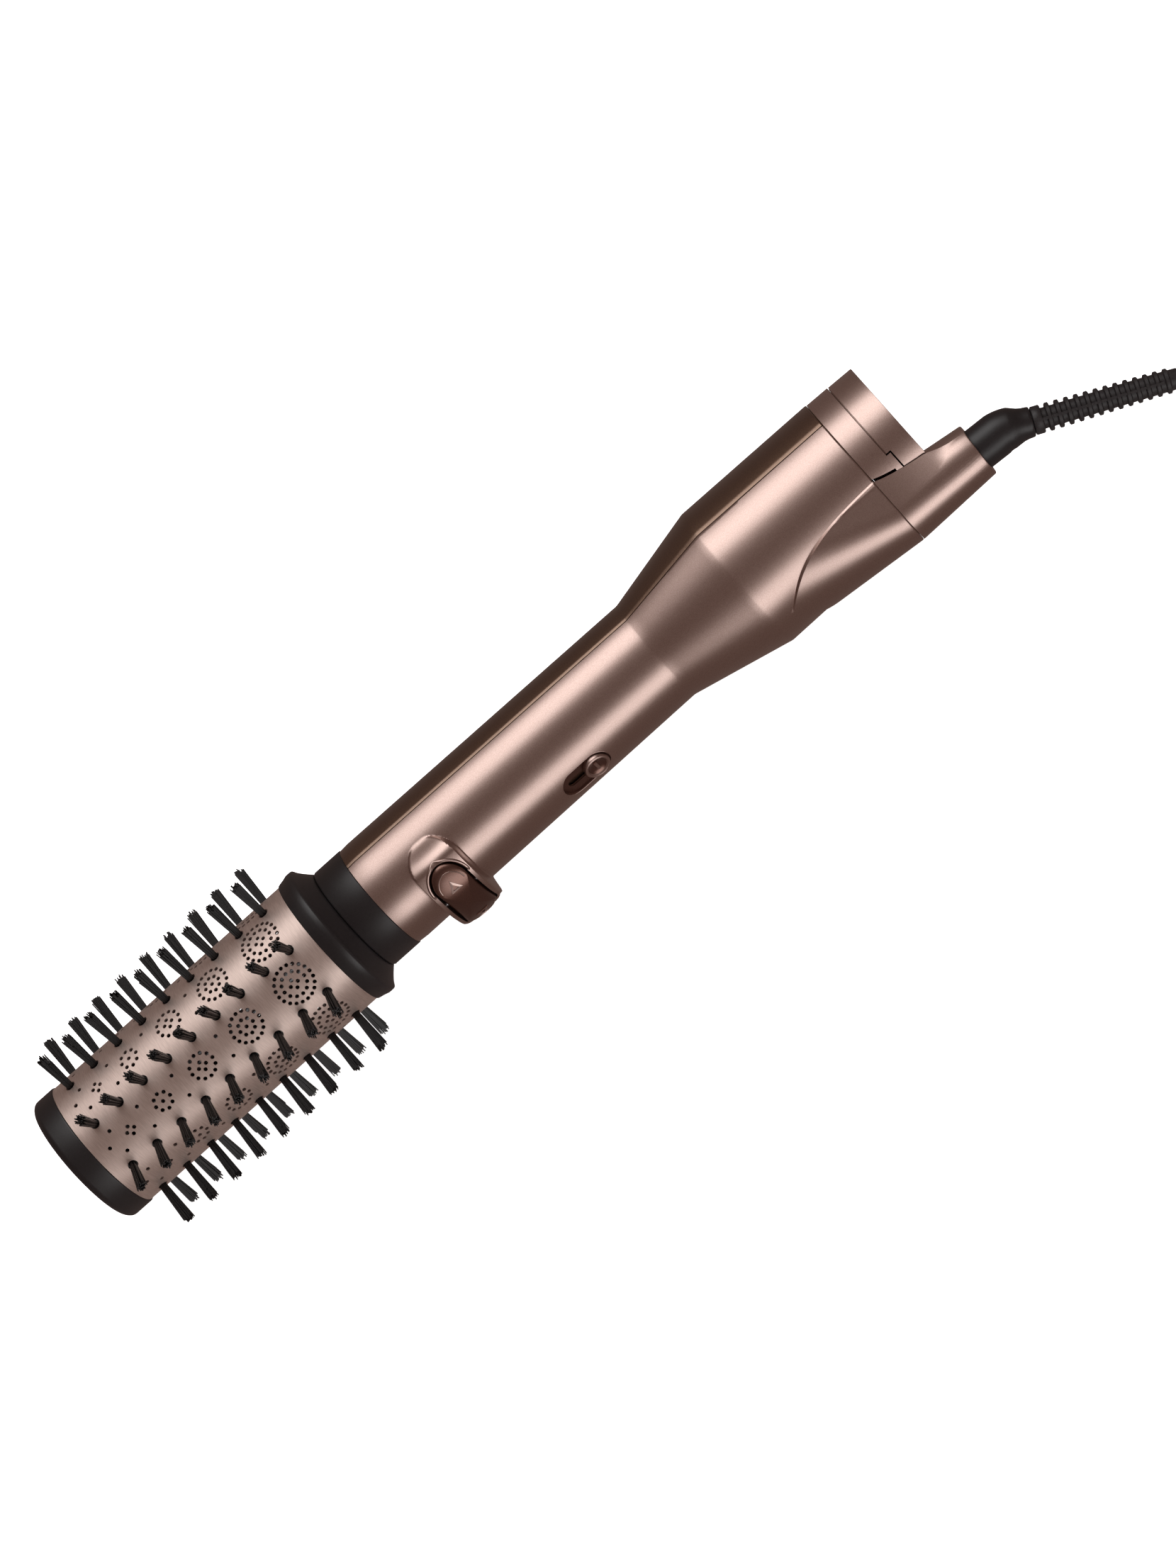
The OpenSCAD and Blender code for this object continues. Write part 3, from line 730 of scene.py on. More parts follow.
def filament(root, tip, r, bend):
    """Four-sided filament from root to tip, bowed by bend."""
    rings = []
    along = (tip - root).normalized()
    side = along.orthogonal().normalized()
    up = along.cross(side)
    for k in range(4):
        t = k / 3
        centre = root.lerp(tip, t) + bend * math.sin(math.pi * t * 0.5) * t
        rings.append([tuple(centre + r * (math.cos(a) * side + math.sin(a) * up))
                      for a in (0, math.pi / 2, math.pi, 3 * math.pi / 2)])
    return loft(rings)


def build_bristles():
    """Rows of tufts, each of many filaments with uneven ends, on a bar inside the barrel."""
    rng = random.Random(12)
    per_tuft = CHOICES.filaments
    bar_top = BARREL_R - BARREL_WALL - 0.85
    for row in range(ROWS):
        angle = math.pi / ROWS + row * 2 * math.pi / ROWS
        turn = Matrix.Rotation(angle, 4, "X")
        verts, faces = [], []

        def add(part):
            join_data(verts, faces, ([tuple(turn @ Vector(v)) for v in part[0]], part[1]))

        for k in range(TUFTS):
            x = TUFT_START + k * TUFT_PITCH
            lean = Vector((rng.uniform(-1, 1), rng.uniform(-1, 1), 0)) * 0.12
            for n in range(per_tuft):
                rho = math.sqrt((n + 0.5) / per_tuft)
                a = n * GOLDEN_ANGLE + rng.uniform(-0.2, 0.2)
                root = Vector((x + rho * math.cos(a), rho * math.sin(a), BARREL_R - BARREL_WALL - 1.0))
                height = CHOICES.tuft_height / MM - 0.1 - rng.uniform(0.0, 1.6) - (rng.random() < 0.08) * 2.6
                flare = 1.85 * rho * rng.uniform(0.8, 1.0)
                tip = Vector((x + flare * math.cos(a), flare * math.sin(a), BARREL_R + height))
                add(filament(root, tip, CHOICES.filament_diameter / 2 / MM, lean))
            # The mouth of the socket's plastic bush, and the bar below the barrel
            add(sweep([(x, 0, BARREL_R - 2.2), (x, 0, BARREL_R - 0.9)], [1.55, 1.55], 20))
        add(loft([[(x, -2.5, bar_top - 2.5), (x, 2.5, bar_top - 2.5), (x, 2.5, bar_top), (x, -2.5, bar_top)]
                  for x in (2.0, BARREL_LEN - 2.0)]))
        piece = make_mesh("bristle_row_%d" % (row + 1), verts, faces, PLACE, "bristle_nylon", 60)
        settle(piece, "brush", "bristle_strip_%d" % (row + 1))


def build_end_cap():
    """The cap on the barrel's front, with a spigot in the barrel."""
    cap = rounded([(-CAP_LEN + 0.1, 0), (-CAP_LEN + 0.1, CAP_R - 1.6), (-CAP_LEN + 1.6, CAP_R), (0, CAP_R),
                   (0, SPIGOT_R), (1.7, SPIGOT_R), (1.7, 0)], 1.1)
    # The front face is dished a little inside its rim
    cap = [(-CAP_LEN + 0.9, 0), (-CAP_LEN + 0.9, 15.5), (-CAP_LEN + 0.2, 17.2)] + cap[1:]
    piece = make_mesh("end_cap", *lathe(cap), PLACE, "black_plastic")
    settle(piece, "brush", "barrel_end_cap")


def build_flange():
    """The flange on the barrel's rear, which falls to the collar in a hollow cone."""
    x = BARREL_LEN
    cone = [(x + 5.4 + 4.5 * t, FLANGE_R - 0.1 - (FLANGE_R - HANDLE_R + 0.1) * t ** 0.82)
            for t in (k / 8 for k in range(9))]
    profile = [(x, SPIGOT_R), (x, CAP_R), (x + 0.5, CAP_R + 0.15), (x + 2.0, FLANGE_R - 0.45),
               (x + 3.4, FLANGE_R - 0.03), (x + 4.4, FLANGE_R), (x + 5.0, FLANGE_R - 0.02)] + cone
    profile += [(x + FLANGE_LEN, HANDLE_R - 0.5), (x + FLANGE_LEN, FLANGE_BORE_R), (x - 2, FLANGE_BORE_R),
                (x - 2, SPIGOT_R)]
    piece = make_mesh("rear_flange", *lathe(profile), PLACE, "black_plastic", 50)
    settle(piece, "brush", "barrel_flange")


def build_collar():
    """The fixed collar, with the sleeve that the barrel turns on."""
    bearing = HANDLE_R - 5.2
    spigot = HANDLE_R - 2.05
    profile = [(COLLAR_X, HANDLE_R - 0.7), (COLLAR_X + 0.2, HANDLE_R - 0.25), (COLLAR_X + 0.6, HANDLE_R),
               (HANDLE_X - 0.25, HANDLE_R), (HANDLE_X - 0.05, HANDLE_R - 0.25), (HANDLE_X - 0.05, spigot),
               (HANDLE_X + 6, spigot), (HANDLE_X + 6, HANDLE_R - 3.4), (COLLAR_X + 2, HANDLE_R - 3.4),
               (COLLAR_X + 2, bearing - 1.2), (BARREL_LEN - 2.2, bearing - 1.2), (BARREL_LEN - 2.2, bearing),
               (COLLAR_X, bearing)]
    piece = make_mesh("collar", *lathe(profile), PLACE, "black_plastic")
    settle(piece, "handle", "fixed_collar")


def boss_profile(grow=0.0, start=-12.0):
    """The tail sleeve's cone, in its own frame with x along it."""
    length = SLEEVE_LEN / math.cos(BOSS_TURN)
    slope = (BOSS_R[0] - BOSS_R[1]) / length
    return [(start, 0), (start, BOSS_R[0] - slope * start + grow), (length - 0.35, BOSS_R[1] + 0.03 + grow),
            (length - 0.1, BOSS_R[1] - 0.1 + grow), (length, BOSS_R[1] - 0.35 + grow), (length, 0)]


BOSS = (PLACE @ Matrix.Translation((RING_X, -BOSS_Y[0], 0)) @ Matrix.Rotation(-BOSS_TURN, 4, "Z"))


def on_pod(x, z, lift):
    """A point on the pod's top above (x, z)."""
    r = casing_radius(x) + lift
    for _ in range(6):
        angle = math.asin(max(-1, min(1, z / r)))
        r = outer_radius(x, angle) + lift
    return (x, -r * math.cos(angle), z)


def axis_out(point):
    """The direction from the tool's axis to a point."""
    return Vector((0, point[1], point[2])).normalized()


def knob_outline(grow, count=64):
    """Outline round the slide button's path, larger than the button by grow."""
    return stadium(KNOB_X - KNOB_TRAVEL / 2, KNOB_TRAVEL / 2 + KNOB_R + grow, KNOB_R + grow, count)


def cut_slot(piece):
    """Cuts the slot that the slide button's stem runs in."""
    slot = stadium(KNOB_X - KNOB_TRAVEL / 2, KNOB_TRAVEL / 2 + SLOT_HALF_W + 1.0, SLOT_HALF_W)
    boolean(piece, prism(slot, -40, -8), PLACE)


def build_button_shell():
    """The button side of the casing, with the rocker's pocket and the slide button's recess."""
    button = make_mesh("button_shell", *shell_solid(True), PLACE, "casing_paint")
    pocket = stadium(ROCKER_X, ROCKER_W / 2 + PAD_GAP, ROCKER_LEN / 2 + PAD_GAP)
    boolean(button, prism(pocket, -40, -10.5), PLACE)
    boolean(button, prism(knob_outline(RECESS_GAP), -40, -HANDLE_END_R + RECESS_DEPTH), PLACE)
    cut_slot(button)
    finish_mesh(button, "casing_paint", 28)
    settle(button, "handle", "handle_button_shell")


def build_back_shell():
    """The back of the casing, with the counterbores of its two screws."""
    # The back shell's darker paint is painted shade on the side turned from the lamps
    back = make_mesh("back_shell", *shell_solid(False), PLACE, "casing_paint", material="shaded_back_paint")
    for x in SCREW_X:
        boolean(back, sweep([(x, 8, 0), (x, 40, 0)], [2.6, 2.6], 40), PLACE)
    finish_mesh(back, "casing_paint", 28, material="shaded_back_paint")
    settle(back, "handle", "handle_back_shell")


def build_casing_trim():
    """A dark sheet on the floor of the slide button's recess as painted shade, and beads round the pocket and the
    recess.
    """
    floor_y = -HANDLE_END_R + RECESS_DEPTH
    floor = prism(knob_outline(RECESS_GAP - 0.05), floor_y - 0.1, floor_y + 0.1)
    # The dark sheet in the recess is painted shade
    piece = make_mesh("knob_recess_shade_sheet", *floor, PLACE, "casing_paint", material="rocker_and_shade_paint")
    cut_slot(piece)
    finish_mesh(piece, "casing_paint", material="rocker_and_shade_paint")
    settle(piece, "handle")

    edge = PAD_GAP + 0.42
    rim = [on_pod(x, z, 0.02) for x, z in stadium(ROCKER_X, ROCKER_W / 2 + edge, ROCKER_LEN / 2 + edge, 120)]
    piece = make_mesh("rocker_bezel", *sweep_loop(rim, 0.5, 10), PLACE, "casing_paint", 60)
    settle(piece, "handle")
    rim = [on_pod(x, z, -0.12) for x, z in knob_outline(RECESS_GAP + 0.12, 96)]
    piece = make_mesh("knob_recess_edge", *sweep_loop(rim, 0.2, 8), PLACE, "casing_paint", 60)
    settle(piece, "handle")


def sector(x0, x1, r0, r1, a0, a1):
    """Curved block round the axis between two angles from the buttons' line."""
    angles = [a0 + (a1 - a0) * k / 8 for k in range(9)]
    return loft([[(x, -r * math.cos(a), r * math.sin(a)) for r, a in
                  [(r1, a) for a in angles] + [(r0, a) for a in angles[::-1]]] for x in (x0, x1)])


def build_ring():
    """The ring at the casing's rear."""
    ring = rounded([(RING_X + RING_GAP, RING_R - 4), (RING_X + RING_GAP, RING_R),
                    (RING_X + RING_LEN, RING_R - 0.2), (RING_X + RING_LEN, RING_R - 4)], EDGE_R)
    piece = make_mesh("seat_ring", *lathe(ring, 160), PLACE, "casing_paint")
    boolean(piece, lathe(boss_profile(0.1), 96), BOSS)
    # A fine gap shows between the ring and the sleeve's flanks
    boolean(piece, flank_solid(0.2), PLACE)
    finish_mesh(piece, "casing_paint")
    settle(piece, "handle", "rear_ring")


def build_filter_cap():
    """The filter cap's rim, with its notches for the sleeve and the snap tab."""
    cap = rounded([(FILTER_X - 0.24, FILTER_R - 2), (FILTER_X - 0.24, FILTER_R - 0.5),
                   (FILTER_X, FILTER_R - 0.5), (FILTER_X, FILTER_R), (FILTER_END_X, FILTER_R - 0.3),
                   (FILTER_END_X, FILTER_R - 3.2), (FILTER_END_X - 1.6, FILTER_R - 3.2),
                   (FILTER_END_X - 1.6, FILTER_R - 2)], EDGE_R)
    piece = make_mesh("filter_cap_rim", *lathe(cap, 160), PLACE, "casing_paint")
    spigot = [(FILTER_X - 3.6, 18.9), (FILTER_X - 3.6, 20.1), (FILTER_X + 0.6, 20.1), (FILTER_X + 0.6, 22.2),
              (FILTER_X + 1.6, 22.2), (FILTER_X + 1.6, 18.9)]
    boolean(piece, lathe(spigot, 128), PLACE, "UNION")
    boolean(piece, lathe(boss_profile(0.3), 96), BOSS)
    boolean(piece, sector(FILTER_X - 4, FILTER_X + 1.6, 18.5, 26, 0.3, 0.81), PLACE)
    finish_mesh(piece, "casing_paint")
    settle(piece, "filter", "filter_cap")


def build_grille():
    """The intake grille: a plate with a field of round holes, cut by the sleeve's notch."""
    plate_r = FILTER_R - 3.1
    side = 2 * plate_r + 2
    pitch = 3.1
    holes = []
    for i in range(-8, 9):
        for j in range(-9, 10):
            u, v = pitch * (i + 0.5 * (j % 2)), pitch * 0.866 * j
            aside = math.hypot(u + BOSS_Y[1] - 1, v)
            if math.hypot(u, v) < plate_r - 2.2 and aside > BOSS_R[0] + 1.4:
                holes.append((u + side / 2, v + side / 2, 1.1, 16))
    flat, faces = flat_with_holes(side, side, holes, 1.6)
    verts, kept = [], []
    for u, v in flat:
        u, v = u - side / 2, v - side / 2
        scale = min(1.0, plate_r / max(math.hypot(u, v), 1e-6))
        verts.append((FILTER_END_X - 0.5, u * scale, v * scale))
    for face in faces:
        cu = sum(verts[v][1] for v in face) / len(face)
        cv = sum(verts[v][2] for v in face) / len(face)
        if math.hypot(cu + BOSS_Y[1] - 1, cv) > BOSS_R[0] - 0.4:
            kept.append(face)
    piece = make_mesh("intake_grille", verts, kept, PLACE, "casing_paint", 180)
    thicken(piece, GRILLE_WALL, 0)
    finish_mesh(piece, "casing_paint", 30)
    settle(piece, "filter")


def flank_solid(grow=0.0):
    """The flanks that join the sleeve to the ring, made larger all round by grow."""
    flank = []
    for k in range(29):
        x = RING_X + 0.1 + (SLEEVE_LEN - 2.1) * k / 28
        run = (x - RING_X) / SLEEVE_LEN
        boss_y = BOSS_Y[0] + (BOSS_Y[1] - BOSS_Y[0]) * run
        boss_r = BOSS_R[0] + (BOSS_R[1] - BOSS_R[0]) * run - 0.02
        # The flank shrinks into the sleeve behind the filter cap
        main_r = 23.2 - 0.215 * (x - RING_X) - 10.5 * smooth((x - FILTER_END_X + 1) / 12)
        row = []
        for n in range(97):
            a = math.radians(-62 + 124 * n / 96)
            r = teardrop(a, main_r, boss_y, boss_r) + grow
            row.append((x, -r * math.cos(a), r * math.sin(a)))
        row.append((x, -10, 5.0))
        row.append((x, -10, -5.0))
        flank.append(row)
    return loft(flank)


def build_snap_tab():
    """The ring's small snap tab, which reaches rearward into a notch of the filter cap."""
    tab = sector(RING_X + RING_LEN - 0.6, FILTER_X + 1.1, 22.2, RING_R - 0.08, 0.5, 0.79)
    piece = make_mesh("snap_tab", *tab, PLACE, "casing_paint")
    settle(piece, "handle")


def build_sleeve():
    """The sleeve that the lead leaves through, joined to the ring by two flanks."""
    piece = make_mesh("cord_sleeve", *lathe(boss_profile(0.0, -2.0), 128), BOSS, "casing_paint")
    wedge = make_mesh("wedge", *flank_solid(), PLACE, "casing_paint")
    boolean(wedge, lathe([(RING_X - 3, 0), (RING_X - 3, RING_R + 0.1), (FILTER_END_X + 12, RING_R - 0.05),
                          (FILTER_END_X + 12, 0)], 192), PLACE)
    verts = [tuple(v.co) for v in wedge.data.vertices]
    faces = [list(p.vertices) for p in wedge.data.polygons]
    bpy.data.objects.remove(wedge)
    boolean(piece, (verts, faces), Matrix.Identity(4), "UNION")
    bore_r = ELBOW_R + 0.25
    bore = [(SLEEVE_LEN - 7, 0), (SLEEVE_LEN - 7, bore_r), (SLEEVE_LEN + 5, bore_r), (SLEEVE_LEN + 5, 0)]
    boolean(piece, lathe(bore, 96), BOSS)
    # Nothing of the sleeve stands forward of the ring line
    forward = loft([[(x, -70, -40), (x, 40, -40), (x, 40, 40), (x, -70, 40)]
                    for x in (RING_X - 30, RING_X + RING_GAP)])
    boolean(piece, forward, PLACE)
    finish_mesh(piece, "casing_paint", 30)
    settle(piece, "handle", "tail_sleeve")


def build_elbow():
    """The elbow between the sleeve and the strain relief."""
    knuckle = Vector(JOINTS["cord_swivel"]["pos_m"])
    out = Vector(JOINTS["cord_swivel"]["axis"]).normalized()
    back = (BOSS.to_3x3() @ Vector((1, 0, 0))).normalized()
    path, radii = [], []
    for t in (-15.7, -12, -9.5, -6, -2.1):
        path.append(knuckle + back * t * MM)
        radii.append(ELBOW_R * MM)
    start, end = knuckle + back * -2.1 * MM, knuckle + out * 2.6 * MM
    for k in range(1, 9):
        path.append(corner_curve(start, knuckle, end, k / 9))
        radii.append((ELBOW_R - 0.5 * k / 9) * MM)
    path += [knuckle + out * s * MM for s in (2.6, 4.0, 5.4, 6.8, 8.1, 8.7, 8.95)]
    radii += [r * MM for r in (6.15, 5.6, 5.05, 4.75, 4.65, 4.55, 4.3)]
    piece = make_mesh("elbow", *sweep(path, radii, 48), Matrix.Identity(4), "black_plastic", 40)
    settle(piece, "handle", "cord_elbow")


def build_strain_relief():
    """The ringed strain relief, up to where the plain lead begins."""
    boot = boot_matrix()
    length = (Vector(CORD_POINTS[0]) * MM - Vector(JOINTS["cord_swivel"]["pos_m"])).length / MM
    profile = [(BOOT_START - 1.0, 0), (BOOT_START - 1.0, 2.4), (BOOT_START, 2.4), (BOOT_START, 4.0),
               (BOOT_START + 0.3, 4.3), (BOOT_START + 2.6, 4.3), (BOOT_START + 2.9, 4.0)]
    x = BOOT_START + 3.0
    number = 0
    while x < length - 4.0:
        top = 4.3 - 0.04 * number
        profile += [(x, 3.2), (x + 1.15, 3.15), (x + 1.3, top - 0.35), (x + 1.55, top), (x + 2.45, top),
                    (x + 2.7, top - 0.35), (x + 2.85, 3.2)]
        x += 3.0
        number += 1
    profile += [(x, 3.15), (length - 0.3, 3.1), (length - 0.05, 3.02), (length - 0.05, 0)]
    piece = make_mesh("strain_relief", *lathe(profile, 64), boot, "cord_rubber", 50, material="soft_tpe")
    # Two ribs along the rings tie them together
    for angle in (math.radians(128), math.radians(308)):
        rib = []
        for along, top in ((BOOT_START + 2, 4.22), (length - 4.5, 3.72)):
            corners = ((3.0, -0.13), (top, -0.1), (top, 0.1), (3.0, 0.13))
            rib.append([(along, r * math.cos(angle + d), r * math.sin(angle + d)) for r, d in corners])
        boolean(piece, loft(rib), boot, "UNION")
    finish_mesh(piece, "cord_rubber", 45, material="soft_tpe")
    settle(piece, "boot", "cord_boot")


def wavy(points, per_span=6):
    """Smooth curve through points, the same at each run."""
    result = []
    for i in range(len(points) - 1):
        p0, p1 = points[max(i - 1, 0)], points[i]
        p2, p3 = points[i + 1], points[min(i + 2, len(points) - 1)]
        for k in range(per_span):
            t = k / per_span
            result.append(tuple(0.5 * (2 * b + (c - a) * t + (2 * a - 5 * b + 4 * c - d) * t * t
                                       + (3 * b - a - 3 * c + d) * t ** 3)
                                for a, b, c, d in zip(p0, p1, p2, p3)))
    result.append(tuple(points[-1]))
    return result


def coil_points():
    """Turns of the coil: inward on the table, up at the inside, and outward on top."""
    steps = 32
    found = []
    for k in range(1, (LOW_TURNS + 1 + TOP_TURNS) * steps):
        turn = k / steps
        climb = min(max(turn - LOW_TURNS, 0.0), 1.0)
        # The turn that climbs keeps clear of its neighbours by a dip towards the centre
        r = (COIL_INNER + CORD_D * max(LOW_TURNS - turn, turn - LOW_TURNS - 1, 0.0)
             - CLIMB_DIP * math.sin(math.pi * climb))
        z = COIL_Z[0] + (COIL_Z[1] - COIL_Z[0]) * smooth(climb)
        a = -math.pi / 2 + 2 * math.pi * turn
        found.append((COIL_CENTRE[0] + r * math.cos(a), COIL_CENTRE[1] + r * math.sin(a), z))
    return found


def build_cord():
    """The plain lead with its coil, as a round curve that rides on the handle."""
    points = wavy(CORD_POINTS)[:-1] + [CORD_POINTS[-1]] + coil_points() + wavy(TAIL_POINTS, 2)
    curve = bpy.data.curves.new("mains_lead", "CURVE")
    curve.dimensions = "3D"
    curve.bevel_depth = CORD_D / 2 * MM
    curve.bevel_resolution = 6
    curve.use_fill_caps = True
    spline = curve.splines.new("POLY")
    spline.points.add(len(points) - 1)
    for point, place in zip(spline.points, points):
        point.co = (*(Vector(place) * MM), 1)
    spline.use_smooth = True
    curve.materials.append(MATERIALS["cord_rubber"])
    lead = new_object("mains_lead", curve)
    settle(lead, "handle", "cord_tube", "cord_coil", "cord_tail")


def build_plug():
    """The moulded plug with its strain relief and its pins."""
    pieces = []
    x0 = PLUG_X - 20
    profile = [(x0, 0), (x0, 3.2)]
    for k in range(5):
        x = x0 + 1.5 + k * 3.4
        r = 3.3 + 0.27 * k
        profile += [(x, r - 0.2), (x + 0.3, r + 0.1), (x + 1.6, r + 0.2), (x + 1.9, r - 0.2)]
    profile += [(PLUG_X - 0.5, 4.7), (PLUG_X, 4.9), (PLUG_X, 0)]
    at = ROW_MM @ Matrix.Translation((0, PLUG_Y, PLUG_Z))
    relief = make_mesh("plug_strain_relief", *lathe(profile, 48), at, "cord_rubber", 50, material="soft_tpe")
    settle(relief, "handle", "plug_relief")
    pieces.append(relief)

    rings = []
    for x, width, height in ((0.02, 12, 12), (1.0, 17, 15), (4, 23, 17.6), (8, 28, 19), (13, 29, 18.6),
                             (19, 28.6, 18.2), (25, 29.6, 18.8), (29.5, 31.4, 19.3), (32.6, 31.8, 19.36),
                             (33.6, 31.3, 18.9), (33.98, 30, 17.8)):
        ring = []
        for k in range(64):
            a = 2 * math.pi * k / 64
            c, s = math.cos(a), math.sin(a)
            ring.append((PLUG_X + x, width / 2 * math.copysign(abs(c) ** 0.75, c),
                         height / 2 * math.copysign(abs(s) ** 0.7, s)))
        rings.append(ring)
    body = make_mesh("mains_plug", *loft(rings), at, "cord_rubber", 40)
    for k in range(5):
        for side in (-1, 1):
            x = PLUG_X + 10 + 3.2 * k
            groove = sweep([(x, -8, side * 9.75), (x, 8, side * 9.75)], [0.75, 0.75], 16)
            boolean(body, groove, at)
    finish_mesh(body, "cord_rubber", 35)
    settle(body, "handle", "plug_body")
    pieces.append(body)

    verts, faces = [], []
    for side in (-1, 1):
        pin = lathe([(PLUG_X + 33.5, 0), (PLUG_X + 33.5, 2.4), (PLUG_X + 51.2, 2.4), (PLUG_X + 52.2, 2.05),
                     (PLUG_X + 52.8, 1.2), (PLUG_X + 53.0, 0)], 40)
        join_data(verts, faces, ([(x, y + side * PIN_PITCH / 2, z) for x, y, z in pin[0]], pin[1]))
    pins = make_mesh("contact_pins", verts, faces, at, "pin_brass", 40)
    settle(pins, "handle", "plug_pins")
    pieces.append(pins)
    return pieces


def build_tie():
    """A flat strap drawn tight round the coil, over its step."""
    # Half a turn in from the coil's ends, and inside the turn that climbs
    low = COIL_INNER + CORD_D * (LOW_TURNS - 0.5) + CORD_D / 2
    high = COIL_INNER + CORD_D * (TOP_TURNS - 0.5) + CORD_D / 2
    inside = COIL_INNER - CLIMB_DIP - CORD_D / 2 - 0.4
    top = COIL_Z[1] + CORD_D / 2 + 0.1
    outline = [(inside, 0.62), (low + 0.1, 0.62), (low + 0.1, 6.8), (high + 0.1, top), (inside, top)]
    rings = []
    for i, p in enumerate(outline):
        here, before, after = Vector(p), Vector(outline[i - 1]), Vector(outline[(i + 1) % len(outline)])
        start = here + (before - here).normalized() * 2.2
        end = here + (after - here).normalized() * 2.2
        for t in (0, 0.25, 0.5, 0.75, 1):
            place = corner_curve(start, here, end, t)
            out = ((here - before).normalized() * (1 - t) + (after - here).normalized() * t).normalized()
            out = Vector((out.y, -out.x))
            section = [(w, place + out * lift) for w, lift in
                       ((-2.9, 0.12), (-2.6, 0.0), (2.6, 0.0), (2.9, 0.12),
                        (2.9, 0.42), (2.6, 0.56), (-2.6, 0.56), (-2.9, 0.42))]
            rings.append([(COIL_CENTRE[0] + w, COIL_CENTRE[1] + p.x, p.y) for w, p in section])
    piece = make_mesh("cord_strap", *loft(rings + [rings[0]], caps=False), ROW_MM, "black_plastic", 40)
    settle(piece, "handle", "cord_tie")
    return piece


def build_lead_and_plug():
    """The lead with the pieces that it ties together."""
    pieces = build_plug()
    pieces.append(build_tie())
    pieces.append(bpy.data.objects["strain_relief"])
    pieces.append(bpy.data.objects["elbow"])
    build_cord()


def build_rocker():
    """The rocker pad: a stadium wrapped round the handle, with two lobes and a crest between them."""
    rings = []
    steps = 96
    levels = [0.98, 1.0, 0.985, 0.95, 0.88, 0.78, 0.66, 0.52, 0.36, 0.2, 0.06]
    drops = [0.0, 1.1, 0.45, 0.12, 0.0, 0.0, 0.0, 0.0, 0.0, 0.0, 0.0]

    def top(x, z):
        across = z / (ROCKER_LEN / 2)
        crest = 0.35 * math.exp(-(across / 0.16) ** 2)
        lobe = 0.45 * math.sin(math.pi * min(1, abs(across))) ** 2
        crown = 0.5 * ((x - ROCKER_X) / (ROCKER_W / 2)) ** 2
        return PAD_R - 0.75 + crest + lobe - crown

    for level, drop in zip(levels, drops):
        # The first ring is the pad's flat underside, inside the casing
        ring = []
        for x, z in stadium(0, ROCKER_W / 2, ROCKER_LEN / 2, steps):
            px, pz = ROCKER_X + x * level, z * level
            r = top(px, pz) - drop
            ring.append((px, -math.sqrt(r * r - pz * pz) if rings else -HANDLE_R + 2.1, pz))
        rings.append(ring)
    verts, faces = loft(rings)
    # A raised arrowhead on each lobe shows the way the brush turns; it is drawn in the lighter casing paint as
    # painted highlight for its light edges
    corners = [(0.0, 11.2), (-2.1, 7.6), (2.1, 7.6)]
    inner = [(0.0, 9.9), (-1.1, 8.2), (1.1, 8.2)]
    marks = ([], [])
    for side in (-1, 1):
        for i in range(3):
            bar = []
            for lift in (-0.4, 0.22):
                row = []
                for x, z in (corners[i], corners[(i + 1) % 3], inner[(i + 1) % 3], inner[i]):
                    r = top(ROCKER_X + x, z) + lift
                    row.append((ROCKER_X + x, -math.sqrt(r * r - z * z), side * z))
                bar.append(row)
            join_data(*marks, loft(bar))
        # A fine raised line round each lobe's end, also in the lighter paint as painted highlight
        line = []
        for k in range(25):
            a = math.pi * k / 24
            x, z = 4.3 * math.cos(a), 9.1 + 4.3 * math.sin(a)
            r = top(ROCKER_X + x, z) + 0.02
            line.append((ROCKER_X + x, -math.sqrt(r * r - z * z), side * z))
        join_data(*marks, sweep(line, [0.2] * len(line), 8))
    pad = make_mesh("rocker_pad", verts, faces, PLACE, "casing_paint", 35, material="rocker_and_shade_paint")
    settle(pad, "rocker", "rotation_rocker")
    # The marks take the lighter casing paint: painted highlight on the darker pad
    piece = make_mesh("rocker_marks_painted_highlight", *marks, PLACE, "casing_paint", 35)
    settle(piece, "rocker")


